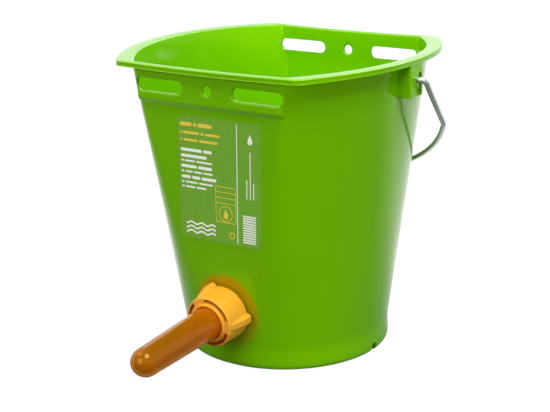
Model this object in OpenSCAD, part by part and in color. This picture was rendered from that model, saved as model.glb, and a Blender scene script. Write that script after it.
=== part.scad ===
// Calf feeder bucket with a screwed-on teat, a flap valve and a swinging bail.
// Millimetres. The origin is on the ground under the middle of the base, +Z is up and the teat points to -Y.

/* [Bucket] */
// Height from the ground to the top of the lip, over the flat panels
bucket_h = 270; // [255:1:290]
// Radius of the wall at the ground
base_r = 91; // [86:0.5:96]
// Half the width between the side walls at the rim
rim_half_x = 125.5; // [121:0.5:130]
// Half the depth between the two flat panels at the rim
rim_half_y = 114.5; // [110:0.5:117]
// Radius of the side walls at the rim, seen from above
rim_side_r = 163.5; // [155:0.5:175]
// Rounding between a flat panel and a side wall at the rim
rim_corner_r = 8; // [4:0.5:12]
// Rounding between a flat panel and a side wall at half height
mid_corner_r = 28; // [20:1:40]
// Thickness of the wall
wall_t = 2.8; // [2.2:0.1:3.4]
// Thickness of the floor
floor_t = 3; // [2:0.1:5]

/* [Foot] */
// Height of the foot ring under the floor
foot_h = 9; // [6:0.5:12]
// Thickness of the foot ring
foot_t = 5; // [3:0.1:8]
// How far the foot ring stands out from the base
foot_proud = 3; // [1:0.1:4]
// Rounding of the foot ring's lower edge
foot_edge_r = 5; // [2:0.1:6]
// Height over which the foot ring runs into the wall
foot_flare_h = 12; // [6:0.5:16]
// Width of the drain notch in the foot ring
notch_w = 6; // [4:0.5:9]
// Height of the drain notch
notch_h = 6.5; // [5:0.5:8]

/* [Lip] */
// Overhang of the lip along the side walls
lip_side = 10.2; // [8:0.1:12]
// Overhang of the lip along the flat panels
lip_front = 5; // [3:0.1:6]
// Radius of the lip's outer edge along the sides, seen from above
lip_side_r = 187; // [175:1:200]
// Rounding of the lip's corners
lip_corner_r = 8; // [4:0.5:12]
// How much higher the lip is in the middle of the side walls than over the flat panels
rim_rise = 2.7; // [1:0.1:4]
// Thickness of the lip's flat top
lip_t = 2.6; // [2:0.1:3.5]
// Height of the lip's outer edge
lip_drop = 5; // [4:0.1:7]
// Thickness of the lip's hanging edge
lip_skirt_t = 2; // [1.5:0.1:3]

/* [Hanging panel] */
// Height of the upright panel, from the top of the lip down to its step
panel_h = 31.3; // [29:0.1:36]
// Height of the sloped step under the panel
step_h = 2.8; // [1:0.1:5]
// Length of a hanging slot
slot_len = 50.5; // [40:0.5:54]
// Height of a hanging slot
slot_h = 11.3; // [9:0.1:12.5]
// Distance between the middles of the two slots
slot_spacing = 101.6; // [94:0.1:104]
// Depth of the slots' middle line below the top of the lip
slot_depth = 18.1; // [16:0.1:20]
// Diameter of the hook hole between the slots
hook_hole_d = 8.6; // [6:0.1:12]

/* [Bail ears] */
// Width of an ear
ear_w = 22; // [18:0.5:26]
// Depth of an ear's lower edge below the top of the lip
ear_depth = 30; // [26:0.5:34]
// Thickness of an ear's walls
ear_wall = 2.7; // [2:0.1:3.2]
// Depth of the bail's pivot below the top of the lip
pivot_depth = 15; // [13:0.5:17]
// Width of the neck that the bail's end is pushed through
ear_neck = 4.2; // [3.6:0.1:4.8]
// Width of the opening beside the bail's bearing
ear_mouth = 4.9; // [4.6:0.1:5.2]
// Height that the opening reaches above the bearing
ear_mouth_rise = 3.2; // [1:0.1:4]

/* [Bail] */
// Diameter of the bail wire
wire_d = 5; // [4:0.1:5.4]
// Clearance of the wire in its ear and off the back wall
bail_clear = 0.3; // [0.2:0.05:0.5]
// Distance from an ear's face to the middle of the bail's leg
bail_out = 7.4; // [6.6:0.1:9]
// Inward lean of the bail's legs, in degrees
bail_leg_lean = 5.3; // [4:0.1:6]
// Share of the bail's reach at which a leg bends into its shoulder
bail_leg_share = 0.415; // [0.38:0.005:0.43]
// Radius of the bail's hand arc
bail_arc_r = 139; // [134:1:144]
// Slope at which a shoulder runs into the hand arc, in degrees
bail_join = 40; // [36:1:44]
// Distance from the pivot to the middle of the hand arc
bail_reach = 162.2; // [159:0.1:168]
// Radius of the bend at the ear
bail_bend_r = 5.5; // [4:0.1:6]
// Radius of the bend between a leg and its shoulder
bail_kink_r = 12; // [8:0.5:30]
// Diameter of the upset head that keeps the wire in its ear
wire_head_d = 7.6; // [7:0.1:9]
// Length of the upset head
wire_head_l = 2.4; // [1.5:0.1:3]

/* [Valve body] */
// Height of the valve's middle on the front wall
valve_z = 52.6; // [46:0.1:62]
// Radius of the spigot at the root of its thread
spigot_r = 19.1; // [18.5:0.1:19.4]
// Radius of the spigot's bore
spigot_bore_r = 15; // [14.8:0.1:15.6]
// Length of the spigot in front of the wall
spigot_len = 21.2; // [20:0.1:22]
// Radius of the flange inside the bucket
flange_r = 29; // [27:0.5:32]
// Thickness of the flange
flange_t = 3; // [2:0.1:5]
// Thickness of the wall seal
seal_t = 2; // [1.5:0.1:3]
// How far the seat round the valve hole stands out of the wall outside
boss_out = 2.4; // [1.8:0.1:2.6]
// Radius of the seat outside, which the nut hides
boss_out_r = 22.9; // [22.6:0.1:23.4]
// How far the seat round the valve hole stands out of the wall inside
boss_in = 1.6; // [1.5:0.1:3]
// Radius of the seat inside
boss_in_r = 30.6; // [30:0.1:33]

/* [Screw thread] */
// Rise of the thread in one turn
thread_pitch = 5; // [4.8:0.1:5.5]
// Height of a thread ridge
thread_h = 1.6; // [1.2:0.1:1.7]
// Width of a ridge at its root
thread_root_w = 2.9; // [2.4:0.1:3.1]
// Width of a ridge at its crest
thread_crest_w = 1.4; // [1:0.1:1.6]
// Turns of the thread on the spigot
spigot_turns = 2.25; // [1.5:0.25:2.5]
// Turns of the thread in the nut
nut_turns = 1.75; // [1:0.25:2]
// Clearance between the nut and the spigot
thread_clear = 0.5; // [0.4:0.05:0.6]

/* [Union nut] */
// Outer radius of the nut at the wall
nut_back_r = 24.1; // [23.8:0.1:25]
// Outer radius of the nut at its front
nut_front_r = 23; // [22.9:0.1:23.6]
// Length of the nut
nut_len = 24.6; // [24:0.1:26]
// Thickness of the nut's front plate
nut_plate_t = 3; // [2:0.1:3.4]
// Rounding of the nut's front edge
nut_edge_r = 1.4; // [0.8:0.1:1.5]
// Outer radius of the collar round the teat
collar_r = 17.1; // [16.8:0.1:17.6]
// Height of the collar in front of the plate
collar_h = 1.5; // [0.8:0.1:3]
// Number of lugs, and of windows
lug_count = 3; // [2:1:4]
// Turn of the first lug from the right-hand side, in degrees
lug_turn = -3; // [-30:1:30]
// Radius of a lug's tip at the wall
lug_r = 28.2; // [27:0.1:30]
// Width of a lug
lug_w = 6; // [4:0.1:9]
// Length of a lug's flat tip
lug_flat = 6.2; // [4:0.1:9]
// Width of a window along the radius
window_w = 3; // [2:0.1:3.2]
// Angle that a window spans, in degrees
window_span = 84; // [40:1:86]

/* [Teat] */
// Radius of the teat at the collar
teat_neck_r = 14.2; // [13.6:0.1:14.6]
// Radius of the teat at its round tip
teat_tip_r = 13.2; // [12:0.1:13.5]
// Distance from the wall to the end of the teat
teat_reach = 125.5; // [110:0.5:140]
// Thickness of the teat's wall
teat_wall = 2.8; // [2:0.1:3.6]
// Radius of the teat's flange
teat_flange_r = 20.7; // [20:0.1:20.9]
// Clearance of the teat in the collar and on the spigot's end
teat_clear = 0.3; // [0.2:0.05:0.5]
// Length of the slit in the tip
slit_len = 7; // [4:0.5:10]
// Width of the slit
slit_w = 0.6; // [0.4:0.1:1]

/* [Flap valve] */
// Slope of the flap's seat against the spigot, in degrees
seat_slope = 14; // [10:1:18]
// Radius of the hole in the seat
seat_bore_r = 10; // [8.5:0.1:10.2]
// Radius of the flap
flap_r = 11.4; // [11.2:0.1:11.8]
// Thickness of the flap
flap_t = 1.6; // [1.2:0.1:1.8]
// Height of the flap's hinge above the spigot's middle
hinge_h = 12; // [11.9:0.1:12.2]
// Distance of the flap's hinge in front of the wall
hinge_out = 1; // [-1:0.1:3]
// Diameter of the hinge pin
pin_d = 1.8; // [1.4:0.1:2]
// Length of the hinge pin
pin_len = 12.4; // [11:0.1:12.6]
// Outer radius of the flap's hinge eye
eye_r = 1.9; // [1.7:0.1:2.1]
// Length of the flap's hinge eye
eye_len = 6; // [4:0.1:6.4]
// Clearance between the flap, its pin and its seat
flap_clear = 0.1; // [0.06:0.01:0.15]
// Clearance of the seat insert in the spigot
insert_clear = 0.15; // [0.05:0.05:0.3]
// Radius of the insert's collar
insert_collar_r = 17.5; // [16.5:0.1:20]
// Thickness of the insert's collar
insert_collar_t = 1.6; // [1:0.1:3]

/* [Label] */
// Width of the label at its top edge
label_top_w = 87; // [60:1:95]
// Width of the label at its bottom edge
label_bottom_w = 85; // [60:1:90]
// Height of the label's lower edge
label_z = 116.5; // [105:0.5:130]
// Bare wall between the label and the step under the hanging panel
label_gap = 7.4; // [5:0.1:20]
// How far the label's top edge is set to the right
label_shift = 8.7; // [0:0.1:12]
// Thickness of the label film
label_t = 0.25; // [0.15:0.05:0.5]

/* [Hidden] */

// Overrun of every cut
cut = 1;
// Thickness of the slices that a tapered wall is drawn between
slice = 0.05;
// Facets of round shapes that are drawn between slices
wall_fn = 64;
// Facets of true round shapes
round_fn = 72;
// Steps in one turn of a thread, and the share of a turn over which its ends fade
thread_steps = 24;
thread_fade_share = 0.1;
// Share of a ridge's height that is left at its ends
thread_end_share = 0.25;

// Sides of the bail's wire, and steps along its bends, shoulders and hand arc
wire_sides = 16;
bend_steps = 6;
kink_steps = 4;
side_steps = 6;
arc_steps = 10;
// Step between the ways that the wall is looked at from, in degrees
wall_look = 2;
// Directions of one quarter, and flat strips across the risen top of the rim
quarter_turn = 90;
rise_steps = 24;
// Swings between which the bail comes to lie on the back wall, in degrees, and halvings that find it
swing_low = 20;
swing_high = 80;
swing_halvings = 16;
// Share of the wall's thickness that the valve's inner seat reaches into, which the round wall still covers
seat_root_share = 0.75;
// How deep a thread's ridge is sunk in the piece that carries it
thread_sink = 0.3;

// Lean of the flat panels, and where the walls are at a height
lean = atan((rim_half_y - base_r) / bucket_h);
function flat_y(z) = base_r + (rim_half_y - base_r) * z / bucket_h;
// Where a flat panel meets a side wall at the rim
crease_x = rim_half_x - rim_side_r + sqrt(pow(rim_side_r, 2) - pow(rim_half_y, 2));
floor_z = foot_h + floor_t;
lip_half_x = rim_half_x + lip_side;
lip_half_y = rim_half_y + lip_front;
step_z = bucket_h - panel_h;
slot_z = bucket_h - slot_depth;
pivot_z = bucket_h - pivot_depth;
ear_z = bucket_h - ear_depth;
label_h = step_z - step_h - label_gap - label_z;

// The bail's centre line hangs in the XZ plane with its pivot at the origin, before it is swung back.
// Corner at the ear, middle of the hand arc, and the bend that joins leg and shoulder.
// A shoulder leaves the hand arc at join_point and reaches its leg at leg_end.
wire_r = wire_d / 2;
bail_x = lip_half_x + bail_out;
bail_tangent = bail_bend_r * tan((90 + bail_leg_lean) / 2);
arc_mid = [0, bail_arc_r - bail_reach];
leg_dir = [-sin(bail_leg_lean), -cos(bail_leg_lean)];
leg_end = [bail_x, 0] + bail_leg_share * bail_reach * leg_dir;
join_dir = [sin(bail_join), -cos(bail_join)];
join_point = arc_mid + bail_arc_r * join_dir;
shoulder = leg_end - join_point;
bail_side_r = -(shoulder * shoulder) / (2 * (shoulder * join_dir));
side_mid = arc_mid + (bail_arc_r - bail_side_r) * join_dir;
leg_in = [-cos(bail_leg_lean), sin(bail_leg_lean)];
kink_from = [bail_x, 0] - side_mid + bail_kink_r * leg_in;
kink_b = kink_from * leg_dir;
kink_c = kink_from * kink_from - pow(bail_side_r - bail_kink_r, 2);
kink_arm = kink_from + (-kink_b + sqrt(pow(kink_b, 2) - kink_c)) * leg_dir;
kink_mid = side_mid + kink_arm;
kink_angle = atan2(kink_arm[1], kink_arm[0]);

// Points round a bend of the bail, from one angle to another
function bend_points(mid, r, from_angle, to_angle, steps) = [
    for (i = [0:steps])
        let (a = from_angle + (to_angle - from_angle) * i / steps)
        [mid[0] + r * cos(a), mid[1] + r * sin(a)]
];
function all_but_first(list) = [for (i = [1:len(list) - 1]) list[i]];

// The centre line of one half of the bail, from its head in the ear to the middle of the hand arc
hand_line = concat(
    bend_points(side_mid, bail_side_r, kink_angle, bail_join - 90, side_steps),
    all_but_first(bend_points(arc_mid, bail_arc_r, bail_join - 90, -90, arc_steps))
);
half_line = concat(
    [[lip_half_x - ear_wall - bail_clear - wire_head_l, 0]],
    bend_points([bail_x - bail_tangent, -bail_bend_r], bail_bend_r, 90, -bail_leg_lean, bend_steps),
    bend_points(kink_mid, bail_kink_r, -bail_leg_lean, kink_angle, kink_steps),
    all_but_first(hand_line)
);
half_count = len(half_line);
bail_line = concat(half_line, [for (i = [half_count - 2:-1:0]) [-half_line[i][0], half_line[i][1]]]);

// A size of the wall at half height, from its size at the rim
function midway(at_rim) = (base_r + at_rim) / 2;
// How far a rounded outline reaches out along a direction in its first quarter
function outline_reach(a, half_x, half_y, side_r, corner_r) =
    let (corner_x = sqrt(pow(side_r - corner_r, 2) - pow(half_y - corner_r, 2)))
    a < atan2(half_y - corner_r, corner_x)
    ? (half_x - side_r) * cos(a) + side_r
    : (half_x - side_r + corner_x) * cos(a) + (half_y - corner_r) * sin(a) + corner_r;
function mid_reach(a) =
    outline_reach(a, midway(rim_half_x), midway(rim_half_y), midway(rim_side_r), mid_corner_r);
function rim_reach(a) = outline_reach(a, rim_half_x, rim_half_y, rim_side_r, rim_corner_r);
// How far a point lies outside the plane that touches the wall at two heights, seen along a direction
function plane_gap(p, a, low_z, low_reach, high_z, high_reach) =
    let (rise = atan((low_reach - high_reach) / (high_z - low_z)))
    (p[0] * cos(a) + p[1] * sin(a) - low_reach) * cos(rise) + (p[2] - low_z) * sin(rise);
// How far a point lies outside the tapered wall, over all the ways that the wall faces in one quarter
function wall_gap(p) = max([for (a = [0:wall_look:quarter_turn]) max(
    plane_gap(p, a, 0, base_r, bucket_h / 2, mid_reach(a)),
    plane_gap(p, a, bucket_h / 2, mid_reach(a), bucket_h, rim_reach(a))
)]);
// Room left between the hand arc and the back wall, with the bail swung back by an angle
function bail_room(swing) = min([for (p = hand_line)
    wall_gap([p[0], -p[1] * sin(swing), pivot_z + p[1] * cos(swing)])
]) - wire_r - bail_clear;
// The swing at which the bail comes to lie on the back wall, halved down from a bracket
function lying_swing(low, high, halvings) =
    let (middle = (low + high) / 2)
    halvings == 0 ? high
    : bail_room(middle) < 0 ? lying_swing(middle, high, halvings - 1)
    : lying_swing(low, middle, halvings - 1);
bail_rest = lying_swing(swing_low, swing_high, swing_halvings);

// Places along the valve, measured outwards from the outer face of the front wall
boss_in_l = -wall_t * cos(lean) - boss_in;
seal_l = boss_in_l - seal_t;
flange_l = seal_l - flange_t;
nut_l = boss_out + teat_clear;
nut_front_l = nut_l + nut_len;
plate_l = nut_front_l - nut_plate_t;
thread_crest_r = spigot_r + thread_h;
valve_hole_r = thread_crest_r + teat_clear;
nut_bore_r = thread_crest_r + thread_clear;
thread_l = spigot_len - spigot_turns * thread_pitch - thread_root_w / 2;
collar_bore_r = teat_neck_r + 2 * teat_clear;
window_r = nut_bore_r - window_w / 2 + thread_clear / 2;
insert_r = spigot_bore_r - insert_clear;
pin_r = pin_d / 2;
pin_hole_r = pin_r + flap_clear;
flap_mid = hinge_h / cos(seat_slope);
seat_face = -flap_t / 2 - flap_clear;

// An outline with two straight edges along X and two round sides
module rim_outline(half_x, half_y, side_r, corner_r) {
    offset(r = corner_r, $fn = wall_fn / 2)
        offset(delta = -corner_r)
            intersection_for (side = [-1, 1])
                intersection() {
                    translate([side * (half_x - side_r), 0])
                        circle(r = side_r, $fn = wall_fn * 2);
                    square([2 * half_x, 2 * half_y], center = true);
                }
}

// The tapered body from a round base to the rim outline, drawn in by an inset
module tapered_body(inset) {
    hull() {
        linear_extrude(slice)
            circle(r = base_r - inset, $fn = wall_fn);
        translate([0, 0, bucket_h / 2])
            linear_extrude(slice)
                offset(delta = -inset)
                    rim_outline(midway(rim_half_x), midway(rim_half_y), midway(rim_side_r), mid_corner_r);
        translate([0, 0, bucket_h - slice])
            linear_extrude(rim_rise + cut)
                offset(delta = -inset)
                    rim_outline(rim_half_x, rim_half_y, rim_side_r, rim_corner_r);
    }
}

// All that lies under the top of the rim, which rises towards both sides, lowered by a depth
module under_rim(depth) {
    half_x = lip_half_x + cut;
    half_y = lip_half_y + cut;
    rotate([90, 0, 0])
        translate([0, 0, -half_y])
            linear_extrude(2 * half_y)
                polygon(concat(
                    [for (i = [0:rise_steps])
                        let (x = half_x * (2 * i / rise_steps - 1))
                        [x, bucket_h + rim_rise * pow(x / lip_half_x, 2) - depth]],
                    [[half_x, -cut], [-half_x, -cut]]
                ));
}

// The lip's top and hanging edge, over its lower side and still to be cut off at its top
module lip() {
    difference() {
        translate([0, 0, bucket_h - lip_drop - cut])
            linear_extrude(lip_drop + rim_rise + 2 * cut)
                rim_outline(lip_half_x, lip_half_y, lip_side_r, lip_corner_r);
        intersection() {
            under_rim(lip_t);
            translate([0, 0, bucket_h - lip_drop - 2 * cut])
                linear_extrude(lip_drop + rim_rise + 2 * cut)
                    offset(delta = -lip_skirt_t)
                        rim_outline(lip_half_x, lip_half_y, lip_side_r, lip_corner_r);
        }
        under_rim(lip_drop);
    }
}

// The upright panel over a leaning flat, as a bar with a sloped lower edge, drawn in by an inset
module panel_bar(inset, top_z) {
    half_x = crease_x - inset;
    back_y = flat_y(step_z - step_h) - wall_t;
    rotate([90, 0, 90])
        translate([0, 0, -half_x])
            linear_extrude(2 * half_x)
                polygon([
                    [back_y - inset, step_z - step_h],
                    [flat_y(step_z - step_h) - inset, step_z - step_h],
                    [rim_half_y - inset, step_z],
                    [rim_half_y - inset, top_z],
                    [back_y - inset, top_z]
                ]);
}

module both_panels() {
    for (side = [0, 1])
        mirror([0, side, 0])
            children();
}

module slot_cut() {
    for (x = [-slot_spacing / 2, slot_spacing / 2])
        translate([x, 0, slot_z])
            rotate([-90, 0, 0])
                linear_extrude(lip_half_y) {
                    square([slot_len - slot_h, slot_h], center = true);
                    for (end = [-1, 1])
                        translate([end * (slot_len - slot_h) / 2, 0])
                            circle(d = slot_h, $fn = round_fn);
                }
}

module hook_hole_cut() {
    translate([0, 0, slot_z])
        rotate([-90, 0, 0])
            cylinder(d = hook_hole_d, h = lip_half_y, $fn = round_fn);
}

module both_ears() {
    for (side = [0, 1])
        mirror([side, 0, 0])
            children();
}

module ear_block() {
    translate([base_r, -ear_w / 2, ear_z])
        cube([lip_half_x - base_r, ear_w, ear_depth + rim_rise - lip_t / 2]);
}

// The hollow behind an ear's face, open below
module ear_pocket() {
    pocket_w = ear_w - 2 * ear_wall;
    translate([rim_half_x, -pocket_w / 2, ear_z - cut])
        cube([lip_half_x - ear_wall - rim_half_x, pocket_w, ear_depth - lip_t - ear_wall + cut]);
}

// The bearing for the wire, with a neck to the opening that the upset end is put in through
module ear_opening() {
    opening_y = ear_w / 2 - ear_wall - ear_mouth / 2;
    opening_h = ear_mouth_rise + ear_depth - pivot_depth - ear_wall;
    translate([lip_half_x - ear_wall - cut, 0, pivot_z]) {
        rotate([0, 90, 0])
            cylinder(r = wire_r + bail_clear, h = ear_wall + 2 * cut, $fn = round_fn);
        translate([0, 0, -ear_neck / 2])
            cube([ear_wall + 2 * cut, opening_y, ear_neck]);
        translate([0, opening_y, ear_mouth_rise])
            rotate([90, 0, 90])
                linear_extrude(ear_wall + 2 * cut) {
                    circle(d = ear_mouth, $fn = round_fn);
                    translate([-ear_mouth / 2, -opening_h])
                        square([ear_mouth, opening_h]);
                }
    }
}

module foot_ring() {
    foot_r = base_r + foot_proud;
    rotate_extrude($fn = round_fn) {
        polygon([
            [0, 0],
            [foot_r - foot_edge_r, 0],
            [foot_r - foot_edge_r, foot_edge_r],
            [foot_r, foot_edge_r],
            [foot_r, foot_h],
            [base_r, foot_h + foot_flare_h],
            [0, foot_h + foot_flare_h]
        ]);
        translate([foot_r - foot_edge_r, foot_edge_r])
            circle(r = foot_edge_r, $fn = wall_fn / 2);
    }
}

module foot_cut() {
    translate([0, 0, -cut])
        cylinder(r = base_r - foot_t, h = foot_h + cut, $fn = round_fn);
    translate([base_r - foot_t - cut, 0, notch_h - notch_w / 2])
        rotate([0, 90, 0])
            cylinder(d = notch_w, h = foot_t + foot_proud + 2 * cut, $fn = round_fn);
    translate([base_r - foot_t - cut, -notch_w / 2, -cut])
        cube([foot_t + foot_proud + 2 * cut, notch_w, notch_h - notch_w / 2 + cut]);
}

// The valve's own frame: its origin on the front wall's outer face, +Z outwards, +Y up the wall
module at_valve() {
    translate([0, -flat_y(valve_z), valve_z])
        rotate([90 + lean, 0, 0])
            children();
}

// A round piece between two places along the valve
module disc(r, from_l, to_l) {
    translate([0, 0, from_l])
        cylinder(r = r, h = to_l - from_l, $fn = round_fn);
}

module bucket_shell() {
    color("yellowgreen")
        difference() {
            union() {
                difference() {
                    union() {
                        intersection() {
                            under_rim(0);
                            union() {
                                tapered_body(0);
                                lip();
                            }
                        }
                        both_panels()
                            panel_bar(0, bucket_h - lip_t / 2);
                        both_ears()
                            ear_block();
                        foot_ring();
                    }
                    intersection() {
                        tapered_body(wall_t);
                        translate([-lip_half_x, -lip_half_y, floor_z])
                            cube([2 * lip_half_x, 2 * lip_half_y, bucket_h]);
                    }
                    both_panels()
                        panel_bar(wall_t, bucket_h + rim_rise + cut);
                }
                at_valve()
                    disc(boss_in_r, boss_in_l, -seat_root_share * wall_t);
                at_valve()
                    disc(boss_out_r, -wall_t / 2, boss_out);
            }
            at_valve()
                disc(valve_hole_r, boss_in_l - cut, boss_out + cut);
            both_panels() {
                slot_cut();
                hook_hole_cut();
            }
            both_ears() {
                ear_pocket();
                ear_opening();
            }
            foot_cut();
        }
}

// A round wire along a line in the XZ plane, as one solid
module wire_tube(line) {
    count = len(line);
    points = [for (i = [0:count - 1])
        let (ahead = line[min(i + 1, count - 1)] - line[max(i - 1, 0)])
        let (out = [-ahead[1], ahead[0]] / norm(ahead))
        for (k = [0:wire_sides - 1])
            let (a = 360 * k / wire_sides)
            [line[i][0] + wire_r * cos(a) * out[0], wire_r * sin(a), line[i][1] + wire_r * cos(a) * out[1]]
    ];
    sides = [for (i = [0:count - 2], k = [0:wire_sides - 1])
        let (next = (k + 1) % wire_sides)
        let (a = i * wire_sides + k)
        let (b = i * wire_sides + next)
        each [[a, b, b + wire_sides], [a, b + wire_sides, a + wire_sides]]
    ];
    last = (count - 1) * wire_sides;
    caps = [
        [for (k = [wire_sides - 1:-1:0]) k],
        [for (k = [0:wire_sides - 1]) last + k]
    ];
    polyhedron(points = points, faces = concat(sides, caps));
}

module bail_handle() {
    color("silver")
        translate([0, 0, pivot_z])
            rotate([bail_rest, 0, 0]) {
                wire_tube(bail_line);
                both_ears()
                    translate([half_line[0][0], 0, 0])
                        rotate([0, 90, 0])
                            cylinder(d = wire_head_d, h = wire_head_l, $fn = round_fn);
            }
}

// A helical ridge of a thread, from a root radius to a crest radius
module thread_ridge(root_r, crest_r, start_l, turns) {
    count = round(turns * thread_steps);
    fade = thread_fade_share * thread_steps;
    ring = [for (i = [0:count])
        let (a = 360 * i / thread_steps)
        let (l = start_l + thread_pitch * i / thread_steps)
        let (full = max(thread_end_share, min(1, i / fade, (count - i) / fade)))
        let (r = root_r + (crest_r - root_r) * full)
        each [
            [root_r * cos(a), root_r * sin(a), l - thread_root_w / 2],
            [r * cos(a), r * sin(a), l - thread_crest_w / 2],
            [r * cos(a), r * sin(a), l + thread_crest_w / 2],
            [root_r * cos(a), root_r * sin(a), l + thread_root_w / 2]
        ]];
    outward = crest_r > root_r;
    sides = [for (i = [0:count - 1], k = [0:3])
        let (p = [4 * i + k, 4 * i + (k + 1) % 4, 4 * i + 4 + (k + 1) % 4, 4 * i + 4 + k])
        each outward ? [[p[0], p[1], p[2]], [p[0], p[2], p[3]]] : [[p[2], p[1], p[0]], [p[3], p[2], p[0]]]];
    last = 4 * count;
    caps = outward
        ? [[3, 2, 1], [3, 1, 0], [last, last + 1, last + 2], [last, last + 2, last + 3]]
        : [[1, 2, 3], [0, 1, 3], [last + 2, last + 1, last], [last + 3, last + 2, last]];
    polyhedron(points = ring, faces = concat(sides, caps));
}

module valve_body() {
    color("orange")
        at_valve()
            difference() {
                union() {
                    disc(flange_r, flange_l, seal_l);
                    disc(valve_hole_r - teat_clear, flange_l, boss_out);
                    disc(spigot_r, flange_l, spigot_len);
                    thread_ridge(spigot_r - thread_sink, thread_crest_r, thread_l, spigot_turns);
                }
                disc(spigot_bore_r, flange_l - cut, spigot_len + cut);
            }
}

module wall_seal() {
    color("dimgray")
        at_valve()
            difference() {
                disc(flange_r - seal_t / 2, seal_l, boss_in_l);
                disc(valve_hole_r, seal_l - cut, boss_in_l + cut);
            }
}

module nut_lug() {
    hull() {
        translate([nut_bore_r, -lug_w / 2, nut_l])
            cube([lug_r - nut_bore_r, lug_w, lug_flat]);
        translate([nut_bore_r, -lug_w / 2, nut_l])
            cube([slice, lug_w, nut_len - nut_edge_r]);
    }
}

module nut_window() {
    translate([0, 0, plate_l - cut])
        rotate([0, 0, 180 / lug_count - window_span / 2])
            rotate_extrude(angle = window_span, $fn = round_fn)
                translate([window_r - window_w / 2, 0])
                    square([window_w, nut_plate_t + 2 * cut]);
}

module union_nut() {
    color("orange")
        at_valve()
            difference() {
                union() {
                    rotate_extrude($fn = round_fn)
                        polygon([
                            [nut_bore_r, nut_l],
                            [nut_back_r, nut_l],
                            [nut_front_r, nut_front_l - nut_edge_r],
                            [nut_front_r - nut_edge_r, nut_front_l],
                            [collar_r, nut_front_l],
                            [collar_r, nut_front_l + collar_h],
                            [collar_bore_r, nut_front_l + collar_h],
                            [collar_bore_r, plate_l],
                            [nut_bore_r, plate_l]
                        ]);
                    for (k = [0:lug_count - 1])
                        rotate([0, 0, lug_turn + 360 * k / lug_count])
                            nut_lug();
                    thread_ridge(
                        nut_bore_r + thread_sink, spigot_r + thread_clear,
                        thread_l + thread_pitch / 2, nut_turns
                    );
                }
                for (k = [0:lug_count - 1])
                    rotate([0, 0, lug_turn + 360 * k / lug_count])
                        nut_window();
            }
}

module teat() {
    flange_back = spigot_len + teat_clear;
    flange_front = plate_l - teat_clear / 2;
    neck_l = nut_front_l + collar_h;
    tip_l = teat_reach - teat_tip_r;
    color("sienna")
        at_valve()
            difference() {
                union() {
                    disc(teat_flange_r, flange_back, flange_front);
                    disc(teat_neck_r, flange_back, neck_l);
                    translate([0, 0, neck_l])
                        cylinder(r1 = teat_neck_r, r2 = teat_tip_r, h = tip_l - neck_l, $fn = round_fn);
                    translate([0, 0, tip_l])
                        sphere(r = teat_tip_r, $fn = round_fn);
                }
                disc(teat_neck_r - teat_wall, flange_back - cut, neck_l);
                translate([0, 0, neck_l])
                    cylinder(
                        r1 = teat_neck_r - teat_wall, r2 = teat_tip_r - teat_wall,
                        h = tip_l - neck_l, $fn = round_fn
                    );
                translate([0, 0, tip_l])
                    sphere(r = teat_tip_r - teat_wall, $fn = round_fn);
                translate([-slit_len / 2, -slit_w / 2, tip_l])
                    cube([slit_len, slit_w, teat_tip_r + cut]);
            }
}

// The flap's own frame: its hinge along X, its disc hanging to -Y, its outer side to +Z
module at_flap() {
    at_valve()
        translate([0, hinge_h, hinge_out])
            rotate([-seat_slope, 0, 0])
                children();
}

module cross_rod(r, half_len) {
    translate([-half_len, 0, 0])
        rotate([0, 90, 0])
            cylinder(r = r, h = 2 * half_len, $fn = round_fn);
}

module flap_seat() {
    lug_in = eye_len / 2 + 2 * flap_clear;
    color("whitesmoke")
        difference() {
            union() {
                difference() {
                    at_valve()
                        disc(insert_r, flange_l - insert_collar_t, spigot_len);
                    at_flap()
                        translate([-spigot_r, -2 * spigot_r, seat_face])
                            cube([2 * spigot_r, 4 * spigot_r, 2 * spigot_len]);
                }
                at_valve()
                    disc(insert_collar_r, flange_l - insert_collar_t, flange_l);
                intersection() {
                    at_flap()
                        for (side = [0, 1])
                            mirror([side, 0, 0])
                                translate([lug_in, 0, 0]) {
                                    translate([0, -eye_r, seat_face - eye_r])
                                        cube([pin_len / 2 - lug_in, 2 * eye_r, eye_r - seat_face]);
                                    rotate([0, 90, 0])
                                        cylinder(r = eye_r, h = pin_len / 2 - lug_in, $fn = round_fn);
                                }
                    at_valve()
                        disc(insert_r, flange_l, spigot_len);
                }
            }
            at_valve()
                disc(seat_bore_r, flange_l - insert_collar_t - cut, spigot_len);
            at_flap()
                cross_rod(eye_r + 2 * flap_clear, lug_in);
            at_flap()
                cross_rod(pin_hole_r, pin_len);
        }
}

// The disc is cut back beside its eye, clear of the seat's lugs
module flap() {
    color("whitesmoke")
        at_flap()
            difference() {
                union() {
                    difference() {
                        translate([0, -flap_mid, -flap_t / 2])
                            cylinder(r = flap_r, h = flap_t, $fn = round_fn);
                        for (side = [0, 1])
                            mirror([side, 0, 0])
                                translate([eye_len / 2, -eye_r - 3 * flap_clear, -flap_t])
                                    cube([flap_r, flap_r, 2 * flap_t]);
                    }
                    cross_rod(eye_r, eye_len / 2);
                }
                cross_rod(pin_hole_r, eye_len);
            }
}

module flap_pin() {
    color("lightsteelblue")
        at_flap()
            cross_rod(pin_r, pin_len / 2);
}

// The film follows the front wall, its top edge set a little to the right
module label() {
    half_top = label_top_w / 2;
    half_bottom = label_bottom_w / 2;
    color([0.75, 0.85, 0.6])
        intersection() {
            difference() {
                tapered_body(-label_t);
                tapered_body(0);
            }
            translate([0, -base_r / 2, label_z])
                rotate([90, 0, 0])
                    linear_extrude(base_r)
                        polygon([
                            [-half_bottom, 0],
                            [half_bottom, 0],
                            [half_top + label_shift, label_h],
                            [label_shift - half_top, label_h]
                        ]);
        }
}

bucket_shell();
bail_handle();
union_nut();
teat();
label();
valve_body();
wall_seal();
flap_seat();
flap();
flap_pin();
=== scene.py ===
import math

import bmesh
import bpy
import numpy as np
from mathutils import Matrix, Vector


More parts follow.
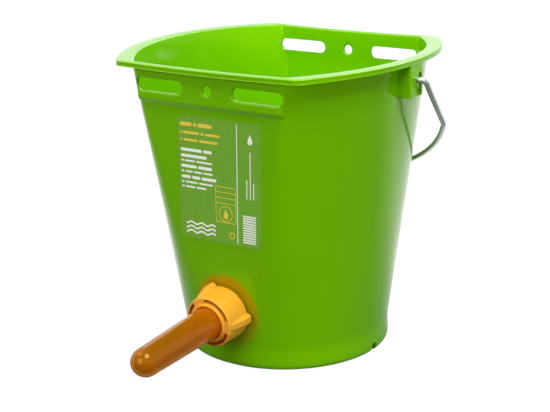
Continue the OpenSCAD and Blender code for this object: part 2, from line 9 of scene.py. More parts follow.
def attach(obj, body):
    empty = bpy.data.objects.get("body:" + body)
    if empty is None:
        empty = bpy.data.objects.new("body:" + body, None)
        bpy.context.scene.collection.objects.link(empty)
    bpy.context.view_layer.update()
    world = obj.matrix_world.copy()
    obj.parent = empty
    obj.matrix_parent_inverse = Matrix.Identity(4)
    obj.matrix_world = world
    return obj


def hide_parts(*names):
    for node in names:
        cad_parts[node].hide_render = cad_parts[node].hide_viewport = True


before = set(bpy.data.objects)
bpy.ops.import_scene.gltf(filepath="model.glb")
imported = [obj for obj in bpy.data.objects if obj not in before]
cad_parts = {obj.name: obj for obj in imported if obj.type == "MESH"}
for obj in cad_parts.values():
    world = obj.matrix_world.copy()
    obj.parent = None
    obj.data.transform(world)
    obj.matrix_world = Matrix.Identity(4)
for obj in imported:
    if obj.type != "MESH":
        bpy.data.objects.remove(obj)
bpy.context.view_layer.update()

# Sizes of the object are in millimetres, as in the part's source, and its meshes are in metres
MM = 0.001
QUARTER_TURN = math.pi / 2
FULL_TURN = 2 * math.pi

# Bucket wall, from a round base to a rim with two flat panels
BUCKET_H = 270.0
BASE_R = 91.0
RIM_HALF_X = 125.5
RIM_HALF_Y = 114.5
RIM_SIDE_R = 163.5
RIM_CORNER_R = 8.0
WALL_T = 2.8
FLOOR_Z = 12.0
FLOOR_FILLET_R = 5.0

# Foot ring, which swells out of the wall and is rounded below
FOOT_H = 9.0
FOOT_T = 5.0
FOOT_PROUD = 3.0
FOOT_EDGE_R = 5.0
FOOT_IN_EDGE_R = 0.8
FOOT_IN_FILLET_R = 2.0
FOOT_FLARE_Z = 24.0
NOTCH_W = 7.6
NOTCH_H = 8.6

# Lip
LIP_HALF_X = 135.7
LIP_HALF_Y = 119.5
LIP_SIDE_R = 187.0
LIP_CORNER_R = 8.0
RIM_RISE = 2.7
RISE_FROM_Z = 248.0
RISE_TO_Z = 262.0
LIP_T = 2.6
LIP_DROP = 5.0
LIP_SKIRT_T = 2.0
LIP_CROWN = 0.5
RIM_EDGE_R = 1.2
LIP_EDGE_R = 0.9
LIP_BAND_SINK = 0.25
LIP_BEAD_H = 0.4
LIP_FOOT_R = 0.35
LIP_ROOT_R = 0.8
LIP_SKIRT_SHARE = 0.5
LIP_ROUND_SHARE = 0.45

# Upright hanging panel with its step, slots and hook hole
STEP_Z = 239.6
STEP_H = 4.2
INNER_STEP_H = 34.0
PANEL_END_DEG = (55.2, 57.8)
SLOT_LEN = 50.5
SLOT_H = 11.3
SLOT_SPACING = 101.6
SLOT_Z = 251.9
HOOK_HOLE_R = 4.3
HOLE_EDGE_R = 1.3

# Ears that carry the bail
EAR_W = 22.0
EAR_Z = 240.0
EAR_WALL = 2.7
EAR_FACE_X = 135.3
EAR_EDGE_R = 1.6
PIVOT_Z = 255.0
EAR_NECK = 4.2
EAR_MOUTH = 4.9
EAR_MOUTH_RISE = 3.2

# Bail wire, which at rest has swung to where it lies on the wall, as in the part's source
WIRE_R = 2.5
WIRE_HEAD_R = 3.8
WIRE_HEAD_L = 2.4
BAIL_CLEAR = 0.3
BAIL_X = 143.1
BAIL_LEG_LEAN = math.radians(5.3)
BAIL_BEND_R = 5.5
BAIL_KINK_R = 12.0
BAIL_LEG_SHARE = 0.415
BAIL_REACH = 162.2
BAIL_ARC_R = 139.0
BAIL_JOIN = math.radians(40.0)
BAIL_REST = math.radians(44.7806)

# Valve, nut and teat, along the valve's axis from the outer face of the front wall
VALVE_Z = 52.6
VALVE_Y = BASE_R + (RIM_HALF_Y - BASE_R) * VALVE_Z / BUCKET_H
LEAN = math.atan((RIM_HALF_Y - BASE_R) / BUCKET_H)
VALVE_HOLE_R = 21.0
SEAT_OUT_R = 21.9
SEAT_OUT_L = 2.4
SEAT_IN_R = 30.6
SEAT_IN_L = -4.39
NUT_L = 2.7
NUT_FRONT_L = 27.3
NUT_PLATE_L = 24.3
NUT_BORE_R = 21.2
NUT_BACK_R = 24.1
NUT_FRONT_R = 23.0
NUT_EDGE_R = 1.4
NUT_BACK_EDGE = 0.5
COLLAR_R = 17.1
COLLAR_BORE_R = 14.8
COLLAR_L = 28.8
COLLAR_EDGE_R = 0.6
LUG_COUNT = 3
LUG_TURN = math.radians(-3.0)
LUG_R = 28.2
LUG_HALF_W = 2.3
LUG_FLAT = 6.2
LUG_FOOT = 0.7
LUG_FLANK_SHARE = 0.55
WINDOW_R = 19.95
WINDOW_W = 3.0
WINDOW_SPAN = math.radians(84.0)
TEAT_FLANGE_R = 20.7
TEAT_FLANGE_BACK_L = 21.5
TEAT_FLANGE_FRONT_L = 24.15
TEAT_NECK_R = 14.2
TEAT_TIP_R = 12.7
TEAT_TIP_LIFT = 2.0
TEAT_REACH = 125.5
TEAT_WALL = 2.8
TEAT_SWELL = 0.25
SLIT_LEN = 7.0
SLIT_W = 0.6

# Label film on the front panel
LABEL_TOP_W = 87.0
LABEL_BOTTOM_W = 85.0
LABEL_H = 112.0
LABEL_Z = 116.5
LABEL_SHIFT = 8.7
LABEL_T = 0.25
PRINT_SINK = 0.06
PRINT_PROUD = 0.05

# How finely pieces are drawn and shaded, and how far a cut runs past the face that it opens
SMOOTH_TURN = math.radians(32.0)
OVERRUN = 1.0
ROUND_SIDES = 96
ROUND_STEPS = 5
ARCH_STEPS = 12


# Mesh making

def mesh_piece(name, points, faces, scale=MM):
    """A new object of points and faces, which are in millimetres where no other scale is given."""
    mesh = bpy.data.meshes.new(name)
    mesh.from_pydata([tuple(c * scale for c in p) for p in points], [], faces)
    mesh.validate()
    piece = bpy.data.objects.new(name, mesh)
    bpy.context.scene.collection.objects.link(piece)
    return piece


def loft_faces(ring_count, side_count, closed=False):
    """Quads between rings of equal length, each closed on itself; the last ring may join the first."""
    faces = []
    for i in range(ring_count if closed else ring_count - 1):
        low = i * side_count
        high = (i + 1) % ring_count * side_count
        for k in range(side_count):
            after = (k + 1) % side_count
            faces.append((low + k, low + after, high + after, high + k))
    return faces


def loft(rings):
    """Points and faces of a closed body through rings of points, with flat ends."""
    side_count = len(rings[0])
    points = [p for ring in rings for p in ring]
    faces = loft_faces(len(rings), side_count)
    last = (len(rings) - 1) * side_count
    faces.append(tuple(range(side_count - 1, -1, -1)))
    faces.append(tuple(range(last, last + side_count)))
    return points, faces


def merge(bodies):
    """Several bodies as one list of points and one of faces."""
    points, faces = [], []
    for body_points, body_faces in bodies:
        first = len(points)
        points += list(body_points)
        faces += [tuple(first + i for i in face) for face in body_faces]
    return points, faces


def moved(body, matrix):
    """A body carried by a matrix, with its faces turned round if the matrix mirrors it."""
    points, faces = body
    mirrored = matrix.to_3x3().determinant() < 0
    new_points = [tuple(matrix @ Vector(p)) for p in points]
    return new_points, [tuple(reversed(face)) if mirrored else face for face in faces]


def face_outwards(piece):
    """Turns all faces of a closed piece to its outside."""
    work = bmesh.new()
    work.from_mesh(piece.data)
    bmesh.ops.recalc_face_normals(work, faces=work.faces)
    work.to_mesh(piece.data)
    work.free()


def settle(piece):
    """Puts the result of the piece's modifiers into its own mesh."""
    bpy.context.view_layer.update()
    evaluated = piece.evaluated_get(bpy.context.evaluated_depsgraph_get())
    mesh = bpy.data.meshes.new_from_object(evaluated)
    piece.modifiers.clear()
    old = piece.data
    piece.data = mesh
    mesh.name = piece.name
    bpy.data.meshes.remove(old)


def carve(piece, bodies, operation):
    """Joins bodies to a piece, or cuts them out of it."""
    tool = mesh_piece("tool", *merge(bodies))
    face_outwards(tool)
    change = piece.modifiers.new("carve", "BOOLEAN")
    change.operation = operation
    change.solver = "EXACT"
    change.object = tool
    settle(piece)
    bpy.data.meshes.remove(tool.data)


def smooth(piece):
    """Shades a piece smoothly, apart from its sharp edges."""
    mesh = piece.data
    mesh.polygons.foreach_set("use_smooth", [True] * len(mesh.polygons))
    mesh.set_sharp_from_angle(angle=SMOOTH_TURN)
    mesh.update()


def dress(piece, material, body, slot, *nodes):
    """Gives a piece its finish, the body that it moves with, and the solids that it stands for."""
    piece.data.materials.clear()
    piece.data.materials.append(material)
    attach(piece, body)
    if nodes:
        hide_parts(*nodes)


def arc(mid, r, start, end, steps):
    """Points on an arc round a middle, from one turn to another."""
    return [
        (mid[0] + r * math.cos(a), mid[1] + r * math.sin(a))
        for a in np.linspace(start, end, steps + 1)
    ]


def circle(r, along, sides):
    """One ring of a round body, at a place along Z."""
    turns = [FULL_TURN * k / sides for k in range(sides)]
    return [(r * math.cos(a), r * math.sin(a), along) for a in turns]


def turned(profile, sides):
    """A closed round body whose section is a closed loop of (radius, place along Z) points."""
    points = [p for r, along in profile for p in circle(r, along, sides)]
    return points, loft_faces(len(profile), sides, closed=True)


# The valve's own frame: its origin on the front wall, +Z outwards, +Y up the wall
AT_VALVE = Matrix.Translation((0, -VALVE_Y, VALVE_Z)) @ Matrix.Rotation(QUARTER_TURN + LEAN, 4, "X")


# Bucket shell

# Stations round the bucket, in degrees from its side to its front, closer together at the corner
CORNER_FROM_DEG = 44
CORNER_TO_DEG = 62
CORNER_STEP_DEG = 0.6
WALL_STEP_DEG = 2.0
OUTLINE_STEPS = 60
QUARTER = np.radians(np.concatenate([
    np.arange(0, CORNER_FROM_DEG, WALL_STEP_DEG),
    np.arange(CORNER_FROM_DEG, CORNER_TO_DEG, CORNER_STEP_DEG),
    np.arange(CORNER_TO_DEG, 90, WALL_STEP_DEG),
    [90],
]))
STATIONS = np.concatenate([
    QUARTER, math.pi - QUARTER[-2::-1], math.pi + QUARTER[1:], FULL_TURN - QUARTER[-2:0:-1],
])


def all_round(quarter):
    """Values at the stations of the first quarter, repeated for the whole round."""
    return np.concatenate([quarter, quarter[-2::-1], quarter[1:], quarter[-2:0:-1]])


def outline_line(half_x, half_y, side_r, corner_r):
    """First quarter of an outline with a straight front and a round side, as dense x and y."""
    side_x = half_x - side_r
    corner_y = half_y - corner_r
    corner_x = side_x + math.sqrt(max((side_r - corner_r) ** 2 - corner_y ** 2, 0))
    turn = math.atan2(corner_y, corner_x - side_x)
    side = np.linspace(0, turn, OUTLINE_STEPS)
    corner = np.linspace(turn, QUARTER_TURN, OUTLINE_STEPS)
    flat = np.linspace(corner_x, 0, OUTLINE_STEPS)[1:]
    x = np.concatenate([side_x + side_r * np.cos(side), corner_x + corner_r * np.cos(corner), flat])
    y = np.concatenate([side_r * np.sin(side), corner_y + corner_r * np.sin(corner), flat * 0 + half_y])
    return x, y


def reach(*sizes):
    """How far an outline lies from the middle at each station of the whole round."""
    x, y = outline_line(*sizes)
    return all_round(np.interp(QUARTER, np.arctan2(y, x), np.hypot(x, y)))


def wall_sizes(z, inset):
    """The sizes of the wall's outline at a height, drawn in by an inset."""
    t = z / BUCKET_H
    half_x = BASE_R + (RIM_HALF_X - BASE_R) * t
    half_y = BASE_R + (RIM_HALF_Y - BASE_R) * t
    side_r = BASE_R + (RIM_SIDE_R - BASE_R) * t
    corner_r = RIM_CORNER_R + (BASE_R - RIM_CORNER_R) * (1 - t) ** 2
    return half_x - inset, half_y - inset, side_r - inset, corner_r - inset


def wall_reach(z, inset):
    """How far the leaning wall lies from the middle at a height, drawn in by an inset."""
    return reach(*wall_sizes(z, inset))


def soft_step(value, low, high):
    """Rises softly from 0 at low to 1 at high."""
    t = np.clip((value - low) / (high - low), 0, 1)
    return t * t * (3 - 2 * t)


# The least sine keeps the flats finite near the sides, where they have no share
LEAST_SINE = 0.5
PANEL_SHARE = all_round(soft_step(np.degrees(QUARTER), *PANEL_END_DEG))


def panel_reach(z, inset):
    """The wall's outline with its two flats stood upright, which ends softly beside them."""
    flat = all_round((RIM_HALF_Y - inset) / np.maximum(np.sin(QUARTER), LEAST_SINE))
    wall = wall_reach(z, inset)
    return wall + PANEL_SHARE * (np.maximum(flat, wall) - wall)


# Shares of the step's height, and of the way from the wall to the panel there
STEP_SHARES = ((-0.18, 0.0), (0.04, 0.03), (0.22, 0.2), (0.78, 0.8), (0.96, 0.97), (1.18, 1.0))


def step_rings(inset, height):
    """The sloped step between the leaning wall and the upright panel, with soft edges."""
    rings = []
    for height_share, panel_share in STEP_SHARES:
        z = STEP_Z - height + height_share * height
        mix = (1 - panel_share) * wall_reach(z, inset) + panel_share * panel_reach(z, inset)
        rings.append((mix, z))
    return rings


def foot_reach(z):
    """The wall's outline near the ground, where the foot swells out of it."""
    return wall_reach(z, 0) + FOOT_PROUD * (1 - soft_step(z, 0, FOOT_FLARE_Z))


def quarter_round(steps=ROUND_STEPS):
    """Sines and cosines over a quarter turn, for a rounded edge."""
    return [(math.sin(a), math.cos(a)) for a in np.linspace(0, QUARTER_TURN, steps + 1)]


def rim_lift(x, z):
    """How far the rim is lifted towards the two sides."""
    return RIM_RISE * (x / LIP_HALF_X) ** 2 * soft_step(z, RISE_FROM_Z, RISE_TO_Z)


WALL_RINGS = 20
FOOT_ROUND_STEPS = 8
PANEL_RING_ZS = (243.0, 252.0, 261.0)
FLOOR_SHARES = (0.3, 0.65)
CROWN_SHARES = (0.2, 0.4, 0.6, 0.8)
FLARE_SHARES = (0.88, 0.76, 0.64, 0.52, 0.42, 0.32)


def inside_rings():
    """From the middle of the floor up the inside of the wall and the panels."""
    low_z = FLOOR_Z + FLOOR_FILLET_R
    floor_r = wall_reach(low_z, WALL_T)
    rings = [(share * floor_r, FLOOR_Z) for share in FLOOR_SHARES]
    for s, c in quarter_round():
        rings.append((floor_r - FLOOR_FILLET_R * (1 - s), FLOOR_Z + FLOOR_FILLET_R * (1 - c)))
    step = step_rings(WALL_T, INNER_STEP_H)
    for z in np.linspace(low_z, step[0][1], WALL_RINGS)[1:-1]:
        rings.append((wall_reach(z, WALL_T), z))
    return rings + step + [(panel_reach(z, WALL_T), z) for z in PANEL_RING_ZS]


def lip_rings():
    """Over the rim's inner edge and the crowned top of the lip, down its face and up the groove behind."""
    inner = panel_reach(BUCKET_H, WALL_T)
    outer = reach(LIP_HALF_X, LIP_HALF_Y, LIP_SIDE_R, LIP_CORNER_R)
    edge_z = BUCKET_H - LIP_CROWN
    rings = []
    for s, c in quarter_round():
        rings.append((inner + RIM_EDGE_R * (1 - c), edge_z - RIM_EDGE_R * (1 - s)))
    top_from = inner + RIM_EDGE_R
    top_to = outer - LIP_EDGE_R
    for share in CROWN_SHARES:
        rise = LIP_CROWN * (1 - (2 * share - 1) ** 2)
        rings.append((top_from + share * (top_to - top_from), edge_z + rise))
    for s, c in quarter_round():
        rings.append((outer - LIP_EDGE_R * (1 - s), edge_z - LIP_EDGE_R * (1 - c)))
    # A shallow band is sunk in the outer face, over a thin bead at its lower edge
    low_z = BUCKET_H - LIP_DROP
    bead_z = low_z + LIP_BEAD_H
    band = outer - LIP_BAND_SINK
    rings.append((band, edge_z - LIP_EDGE_R - LIP_BAND_SINK))
    rings.append((band, bead_z + LIP_BAND_SINK))
    rings.append((outer, bead_z))
    # The hanging edge and the groove behind it are narrower at the corners
    under_z = BUCKET_H - LIP_T
    wall_top = panel_reach(under_z, 0)
    overhang = outer - wall_top
    skirt_t = np.minimum(LIP_SKIRT_T, LIP_SKIRT_SHARE * overhang)
    skirt = outer - skirt_t
    edge = np.minimum(LIP_FOOT_R, LIP_ROUND_SHARE * skirt_t)
    root = np.minimum(LIP_ROOT_R, LIP_ROUND_SHARE * (overhang - skirt_t))
    for s, c in quarter_round():
        rings.append((outer - edge * (1 - c), low_z + edge * (1 - s)))
    for s, c in quarter_round():
        rings.append((skirt + edge * (1 - s), low_z + edge * (1 - c)))
    for s, c in quarter_round():
        rings.append((skirt - root * (1 - c), under_z - root * (1 - s)))
    for s, c in quarter_round():
        rings.append((wall_top + root * (1 - s), under_z - root * (1 - c)))
    return rings


def outside_rings():
    """Down the outside of the panels and the wall to the foot's outer edge."""
    rings = [(panel_reach(z, 0), z) for z in reversed(PANEL_RING_ZS)]
    step = step_rings(0, STEP_H)
    rings += step[::-1]
    for z in np.linspace(FOOT_FLARE_Z, step[0][1], WALL_RINGS)[-2::-1]:
        rings.append((wall_reach(z, 0), z))
    for share in FLARE_SHARES:
        rings.append((foot_reach(share * FOOT_FLARE_Z), share * FOOT_FLARE_Z))
    foot_r = foot_reach(FOOT_EDGE_R)
    for s, c in quarter_round(FOOT_ROUND_STEPS):
        rings.append((foot_r - FOOT_EDGE_R * (1 - c), FOOT_EDGE_R * (1 - s)))
    return rings


def under_rings():
    """Up the inside of the foot ring and in to the middle of the hollow under the floor."""
    inner = all_round(QUARTER * 0 + BASE_R - FOOT_T)
    rings = []
    for s, c in quarter_round():
        rings.append((inner + FOOT_IN_EDGE_R * (1 - s), FOOT_IN_EDGE_R * (1 - c)))
    for s, c in quarter_round():
        rings.append((inner - FOOT_IN_FILLET_R * (1 - c), FOOT_H - FOOT_IN_FILLET_R * (1 - s)))
    return rings + [(share * inner, FOOT_H) for share in reversed(FLOOR_SHARES)]


def shell_body():
    """The bucket before its ears, valve seats and holes."""
    rings = inside_rings() + lip_rings() + outside_rings() + under_rings()
    side_count = len(STATIONS)
    points = []
    for radii, z in rings:
        x = radii * np.cos(STATIONS)
        y = radii * np.sin(STATIONS)
        points += list(zip(x, y, z + rim_lift(x, z)))
    faces = loft_faces(len(rings), side_count)
    for z, first in ((FLOOR_Z, 0), (FOOT_H, (len(rings) - 1) * side_count)):
        middle = len(points)
        points.append((0, 0, z))
        for k in range(side_count):
            faces.append((middle, first + k, first + (k + 1) % side_count))
    return points, faces


SLOT_STEPS = 14


def stadium(length, width, grow, steps=SLOT_STEPS):
    """A slot's outline round the origin, grown all round; a circle where it is as long as it is wide."""
    half = (length - width) / 2
    r = width / 2 + grow
    if half == 0:
        return arc((0, 0), r, 0, FULL_TURN, 4 * steps)[:-1]
    right = arc((half, 0), r, -QUARTER_TURN, QUARTER_TURN, steps)
    left = arc((-half, 0), r, QUARTER_TURN, 3 * QUARTER_TURN, steps)
    return right + left


FLARE_TURNS_DEG = (0, 25, 50, 72)
FLARE_OVERRUN = 0.6


def flared_cut(outline, outer, inner):
    """A hole through a wall from inner to outer, with rounded edges on both faces."""
    rings = []
    for side, face in ((-1, inner), (1, outer)):
        steps = []
        for deg in FLARE_TURNS_DEG:
            a = math.radians(deg)
            grow = HOLE_EDGE_R * (1 - math.cos(a))
            depth = HOLE_EDGE_R * (1 - math.sin(a))
            steps.append((grow, face - side * depth))
        last = math.radians(FLARE_TURNS_DEG[-1])
        grow, place = steps[-1]
        run = FLARE_OVERRUN / math.cos(last)
        steps.append((grow + run * math.sin(last), place + side * run * math.cos(last)))
        rings += steps[::-1] if side < 0 else steps
    return loft([[(u, v, place) for u, v in outline(grow)] for grow, place in rings])


SLOT_RUN_ON = 6.0


def panel_cuts():
    """The slots and hook holes of both panels; a slot's cut runs on past the wall's turn at its end."""
    bodies = []
    inner = RIM_HALF_Y - WALL_T
    hole_w = 2 * HOOK_HOLE_R
    slot = flared_cut(lambda grow: stadium(SLOT_LEN, SLOT_H, grow), RIM_HALF_Y, inner - SLOT_RUN_ON)
    hole = flared_cut(lambda grow: stadium(hole_w, hole_w, grow), RIM_HALF_Y, inner)
    upright = Matrix.Rotation(QUARTER_TURN, 4, "X")
    for turn in (0, math.pi):
        swing = Matrix.Rotation(turn, 4, "Z")
        for cut, x in ((slot, -SLOT_SPACING / 2), (slot, SLOT_SPACING / 2), (hole, 0)):
            bodies.append(moved(cut, swing @ Matrix.Translation((x, 0, SLOT_Z)) @ upright))
    return bodies


def ear_block():
    """The block of the ear at +X, which ends inside the wall and the lip."""
    half = EAR_W / 2
    root_share = 0.5
    root_sink = 0.5
    low_edge = 0.9
    corner = arc((EAR_FACE_X - EAR_EDGE_R, half - EAR_EDGE_R), EAR_EDGE_R, QUARTER_TURN, 0, ROUND_STEPS)
    rows = [(low_edge * (1 - s), EAR_Z + low_edge * (1 - c)) for s, c in quarter_round()]
    rows.append((0, BUCKET_H + RIM_RISE - LIP_T + root_sink))
    rings = []
    for inset, z in rows:
        root_x = wall_sizes(z, root_share * WALL_T)[0] - root_sink
        ring = [(root_x, half - inset, z)]
        ring += [(x - inset, y - inset, z) for x, y in corner]
        ring += [(x - inset, inset - y, z) for x, y in reversed(corner)]
        ring.append((root_x, inset - half, z))
        rings.append(ring)
    return loft(rings)


def ear_pocket():
    """The hollow behind the ear's face, open below."""
    half = EAR_W / 2 - EAR_WALL
    front = EAR_FACE_X - EAR_WALL
    wall_gap = 0.6
    top_z = BUCKET_H - LIP_T - EAR_WALL
    rings = []
    for z in (EAR_Z - OVERRUN, top_z):
        back = wall_sizes(z, -wall_gap)[0]
        rings.append([(back, -half, z), (front, -half, z), (front, half, z), (back, half, z)])
    return loft(rings)


def ear_keyhole():
    """The bearing for the wire with its neck and the opening beside it, through the ear's face."""
    bearing_r = WIRE_R + BAIL_CLEAR
    bearing_steps = 24
    neck = EAR_NECK / 2
    mouth_r = EAR_MOUTH / 2
    mouth_y = EAR_W / 2 - EAR_WALL - mouth_r
    mouth_low = EAR_Z + EAR_WALL - PIVOT_Z
    turn = math.asin(neck / bearing_r)
    line = arc((0, 0), bearing_r, turn, FULL_TURN - turn, bearing_steps)
    line += [(mouth_y - mouth_r, -neck), (mouth_y - mouth_r, mouth_low), (mouth_y + mouth_r, mouth_low)]
    line += arc((mouth_y, EAR_MOUTH_RISE), mouth_r, 0, math.pi, ARCH_STEPS)
    line.append((mouth_y - mouth_r, neck))
    overrun = 1.5
    places = (EAR_FACE_X - EAR_WALL - overrun, EAR_FACE_X + overrun)
    return loft([[(x, y, PIVOT_Z + z) for y, z in line] for x in places])


def valve_seats():
    """The raised seats round the valve hole, inside and outside the wall."""
    edge = 0.6
    root = 1.4
    gap = 0.1
    outside = [(SEAT_OUT_R, -root)]
    outside += [(SEAT_OUT_R - edge * (1 - c), SEAT_OUT_L - edge * (1 - s)) for s, c in quarter_round()]
    inside = [(SEAT_IN_R - edge * (1 - c), SEAT_IN_L + edge * (1 - s)) for s, c in quarter_round()[::-1]]
    inside.append((SEAT_IN_R, -root - gap))
    bodies = []
    for profile in (outside, inside):
        rings = [circle(r, along, ROUND_SIDES) for r, along in profile]
        bodies.append(moved(loft(rings), AT_VALVE))
    return bodies


def drain_notch():
    """The arched notch in the foot ring at +X."""
    half = NOTCH_W / 2
    line = [(-half, -OVERRUN), (half, -OVERRUN)] + arc((0, NOTCH_H - half), half, 0, math.pi, ARCH_STEPS)
    places = (BASE_R - 2 * FOOT_T, BASE_R + 2 * FOOT_T)
    return loft([[(x, y, z) for y, z in line] for x in places])


MIRROR_X = Matrix.Scale(-1, 4, (1, 0, 0))


def make_bucket():
    """The shell with its ears and valve seats, cut by the slots, holes, pockets and notch."""
    piece = mesh_piece("green_bucket", *shell_body())
    face_outwards(piece)
    ear = ear_block()
    carve(piece, [ear, moved(ear, MIRROR_X)] + valve_seats(), "UNION")
    valve_hole = [circle(VALVE_HOLE_R, along, ROUND_SIDES) for along in (2 * SEAT_IN_L, 2 * SEAT_OUT_L)]
    pocket = ear_pocket()
    cuts = panel_cuts() + [moved(loft(valve_hole), AT_VALVE), pocket, moved(pocket, MIRROR_X), drain_notch()]
    carve(piece, cuts, "DIFFERENCE")
    keyhole = ear_keyhole()
    carve(piece, [keyhole, moved(keyhole, MIRROR_X)], "DIFFERENCE")
    smooth(piece)
    return piece


# Bail

WIRE_SIDES = 28
BEND_STEPS = 10
LEG_STEPS = 6
KINK_STEPS = 6
SHOULDER_STEPS = 14
HAND_STEPS = 24


def bail_arcs():
    """Middles and sizes of the bail's arcs: hand arc, shoulder, and the bend between shoulder and leg."""
    corner = np.array((BAIL_X, 0.0))
    hand_mid = np.array((0.0, BAIL_ARC_R - BAIL_REACH))
    down_leg = np.array((-math.sin(BAIL_LEG_LEAN), -math.cos(BAIL_LEG_LEAN)))
    leg_in = np.array((-math.cos(BAIL_LEG_LEAN), math.sin(BAIL_LEG_LEAN)))
    out = np.array((math.sin(BAIL_JOIN), -math.cos(BAIL_JOIN)))
    span = corner + BAIL_LEG_SHARE * BAIL_REACH * down_leg - hand_mid - BAIL_ARC_R * out
    side_r = -(span @ span) / (2 * (span @ out))
    side_mid = hand_mid + (BAIL_ARC_R - side_r) * out
    start = corner - side_mid + BAIL_KINK_R * leg_in
    along = start @ down_leg
    run = math.sqrt(along ** 2 - start @ start + (side_r - BAIL_KINK_R) ** 2) - along
    arm = start + run * down_leg
    return hand_mid, side_mid, side_r, side_mid + arm, math.atan2(arm[1], arm[0])


def bail_line():
    """Half of the wire's centre line, from its head to the middle of the hand arc, as (x, z)."""
    hand_mid, side_mid, side_r, kink_mid, kink_turn = bail_arcs()
    head_x = LIP_HALF_X - EAR_WALL - BAIL_CLEAR - WIRE_HEAD_L
    tangent = BAIL_BEND_R * math.tan((QUARTER_TURN + BAIL_LEG_LEAN) / 2)
    bend = arc((BAIL_X - tangent, -BAIL_BEND_R), BAIL_BEND_R, QUARTER_TURN, -BAIL_LEG_LEAN, BEND_STEPS)
    kink = arc(kink_mid, BAIL_KINK_R, -BAIL_LEG_LEAN, kink_turn, KINK_STEPS)
    shoulder = arc(side_mid, side_r, kink_turn, BAIL_JOIN - QUARTER_TURN, SHOULDER_STEPS)
    hand = arc(hand_mid, BAIL_ARC_R, BAIL_JOIN - QUARTER_TURN, -QUARTER_TURN, HAND_STEPS)
    leg = [tuple(np.array(bend[-1]) + (np.array(kink[0]) - np.array(bend[-1])) * i / LEG_STEPS)
           for i in range(1, LEG_STEPS)]
    edge = 0.5
    heads = [(head_x, WIRE_HEAD_R - 2 * edge), (head_x + edge / 3, WIRE_HEAD_R - edge / 2),
             (head_x + edge, WIRE_HEAD_R), (head_x + WIRE_HEAD_L - edge, WIRE_HEAD_R),
             (head_x + WIRE_HEAD_L - edge / 4, WIRE_HEAD_R - edge / 2), (head_x + WIRE_HEAD_L, WIRE_R)]
    line = [((x, 0.0), r) for x, r in heads]
    line += [(p, WIRE_R) for p in bend + leg + kink + shoulder[1:] + hand[1:]]
    return line


def make_bail():
    """The wire as rings of points along its centre line, and then along the mirrored half."""
    half = bail_line()
    line = half + [((-p[0], p[1]), r) for p, r in half[-2::-1]]
    rings = []
    for i, (p, r) in enumerate(line):
        after = np.array(line[min(i + 1, len(line) - 1)][0])
        before = np.array(line[max(i - 1, 0)][0])
        ahead = (after - before) / np.linalg.norm(after - before)
        ring = []
        for k in range(WIRE_SIDES):
            a = FULL_TURN * k / WIRE_SIDES
            off = r * math.cos(a)
            ring.append((p[0] - ahead[1] * off, r * math.sin(a), p[1] + ahead[0] * off))
        rings.append(ring)
    swing = Matrix.Translation((0, 0, PIVOT_Z)) @ Matrix.Rotation(BAIL_REST, 4, "X")
    piece = mesh_piece("bail_wire", *moved(loft(rings), swing))
    face_outwards(piece)
    smooth(piece)
    return piece


# Union nut

NUT_SIDES = 360
NUT_SIDE_STEPS = 18
WINDOW_STEPS = 30


def lug_rise(turn, along, body_r):
    """How far a lug stands out of the nut's body at a turn and a place along it."""
    end = NUT_FRONT_L - NUT_EDGE_R
    flat_end = NUT_L + LUG_FLAT
    full = LUG_R - body_r
    if along > flat_end:
        full *= max(0.0, (end - along) / (end - flat_end))
    pitch = FULL_TURN / LUG_COUNT
    off = (turn - LUG_TURN + pitch / 2) % pitch - pitch / 2
    foot = LUG_HALF_W + LUG_FOOT + LUG_FLANK_SHARE * full
    return full * soft_step(foot - abs(off) * body_r, 0, foot - LUG_HALF_W)


def nut_outside():
    """The nut's section from its back edge to its front, where the lugs stand."""
    edge = NUT_BACK_EDGE
    front_edge_l = NUT_FRONT_L - NUT_EDGE_R
    line = [(NUT_BORE_R + edge, NUT_L), (NUT_BACK_R - edge, NUT_L), (NUT_BACK_R, NUT_L + edge)]
    for i in range(1, NUT_SIDE_STEPS + 1):
        share = i / NUT_SIDE_STEPS
        line.append((NUT_BACK_R + (NUT_FRONT_R - NUT_BACK_R) * share,
                     NUT_L + edge + (front_edge_l - NUT_L - edge) * share))
    for s, c in quarter_round()[1:]:
        line.append((NUT_FRONT_R - NUT_EDGE_R * (1 - c), front_edge_l + NUT_EDGE_R * s))
    return line


def nut_front():
    """The nut's section over its collar and down its bore."""
    edge = COLLAR_EDGE_R
    line = [(COLLAR_R + edge * (1 - s), NUT_FRONT_L + edge * (1 - c)) for s, c in quarter_round()]
    line += [(COLLAR_R - edge * (1 - c), COLLAR_L - edge * (1 - s)) for s, c in quarter_round()]
    line += [(COLLAR_BORE_R + edge * (1 - s), COLLAR_L - edge * (1 - c)) for s, c in quarter_round()]
    line += [(COLLAR_BORE_R, NUT_PLATE_L), (NUT_BORE_R, NUT_PLATE_L), (NUT_BORE_R, NUT_L + NUT_BACK_EDGE)]
    return line


def nut_windows():
    """The arc windows in the nut's front plate, between the lugs."""
    bodies = []
    out_r = WINDOW_R + WINDOW_W / 2
    in_r = WINDOW_R - WINDOW_W / 2
    for k in range(LUG_COUNT):
        middle = LUG_TURN + FULL_TURN * (k + 0.5) / LUG_COUNT
        start = middle - WINDOW_SPAN / 2
        end = middle + WINDOW_SPAN / 2
        line = arc((0, 0), out_r, start, end, WINDOW_STEPS) + arc((0, 0), in_r, end, start, WINDOW_STEPS)
        places = (NUT_PLATE_L - OVERRUN, NUT_FRONT_L + OVERRUN)
        bodies.append(moved(loft([[(x, y, along) for x, y in line] for along in places]), AT_VALVE))
    return bodies


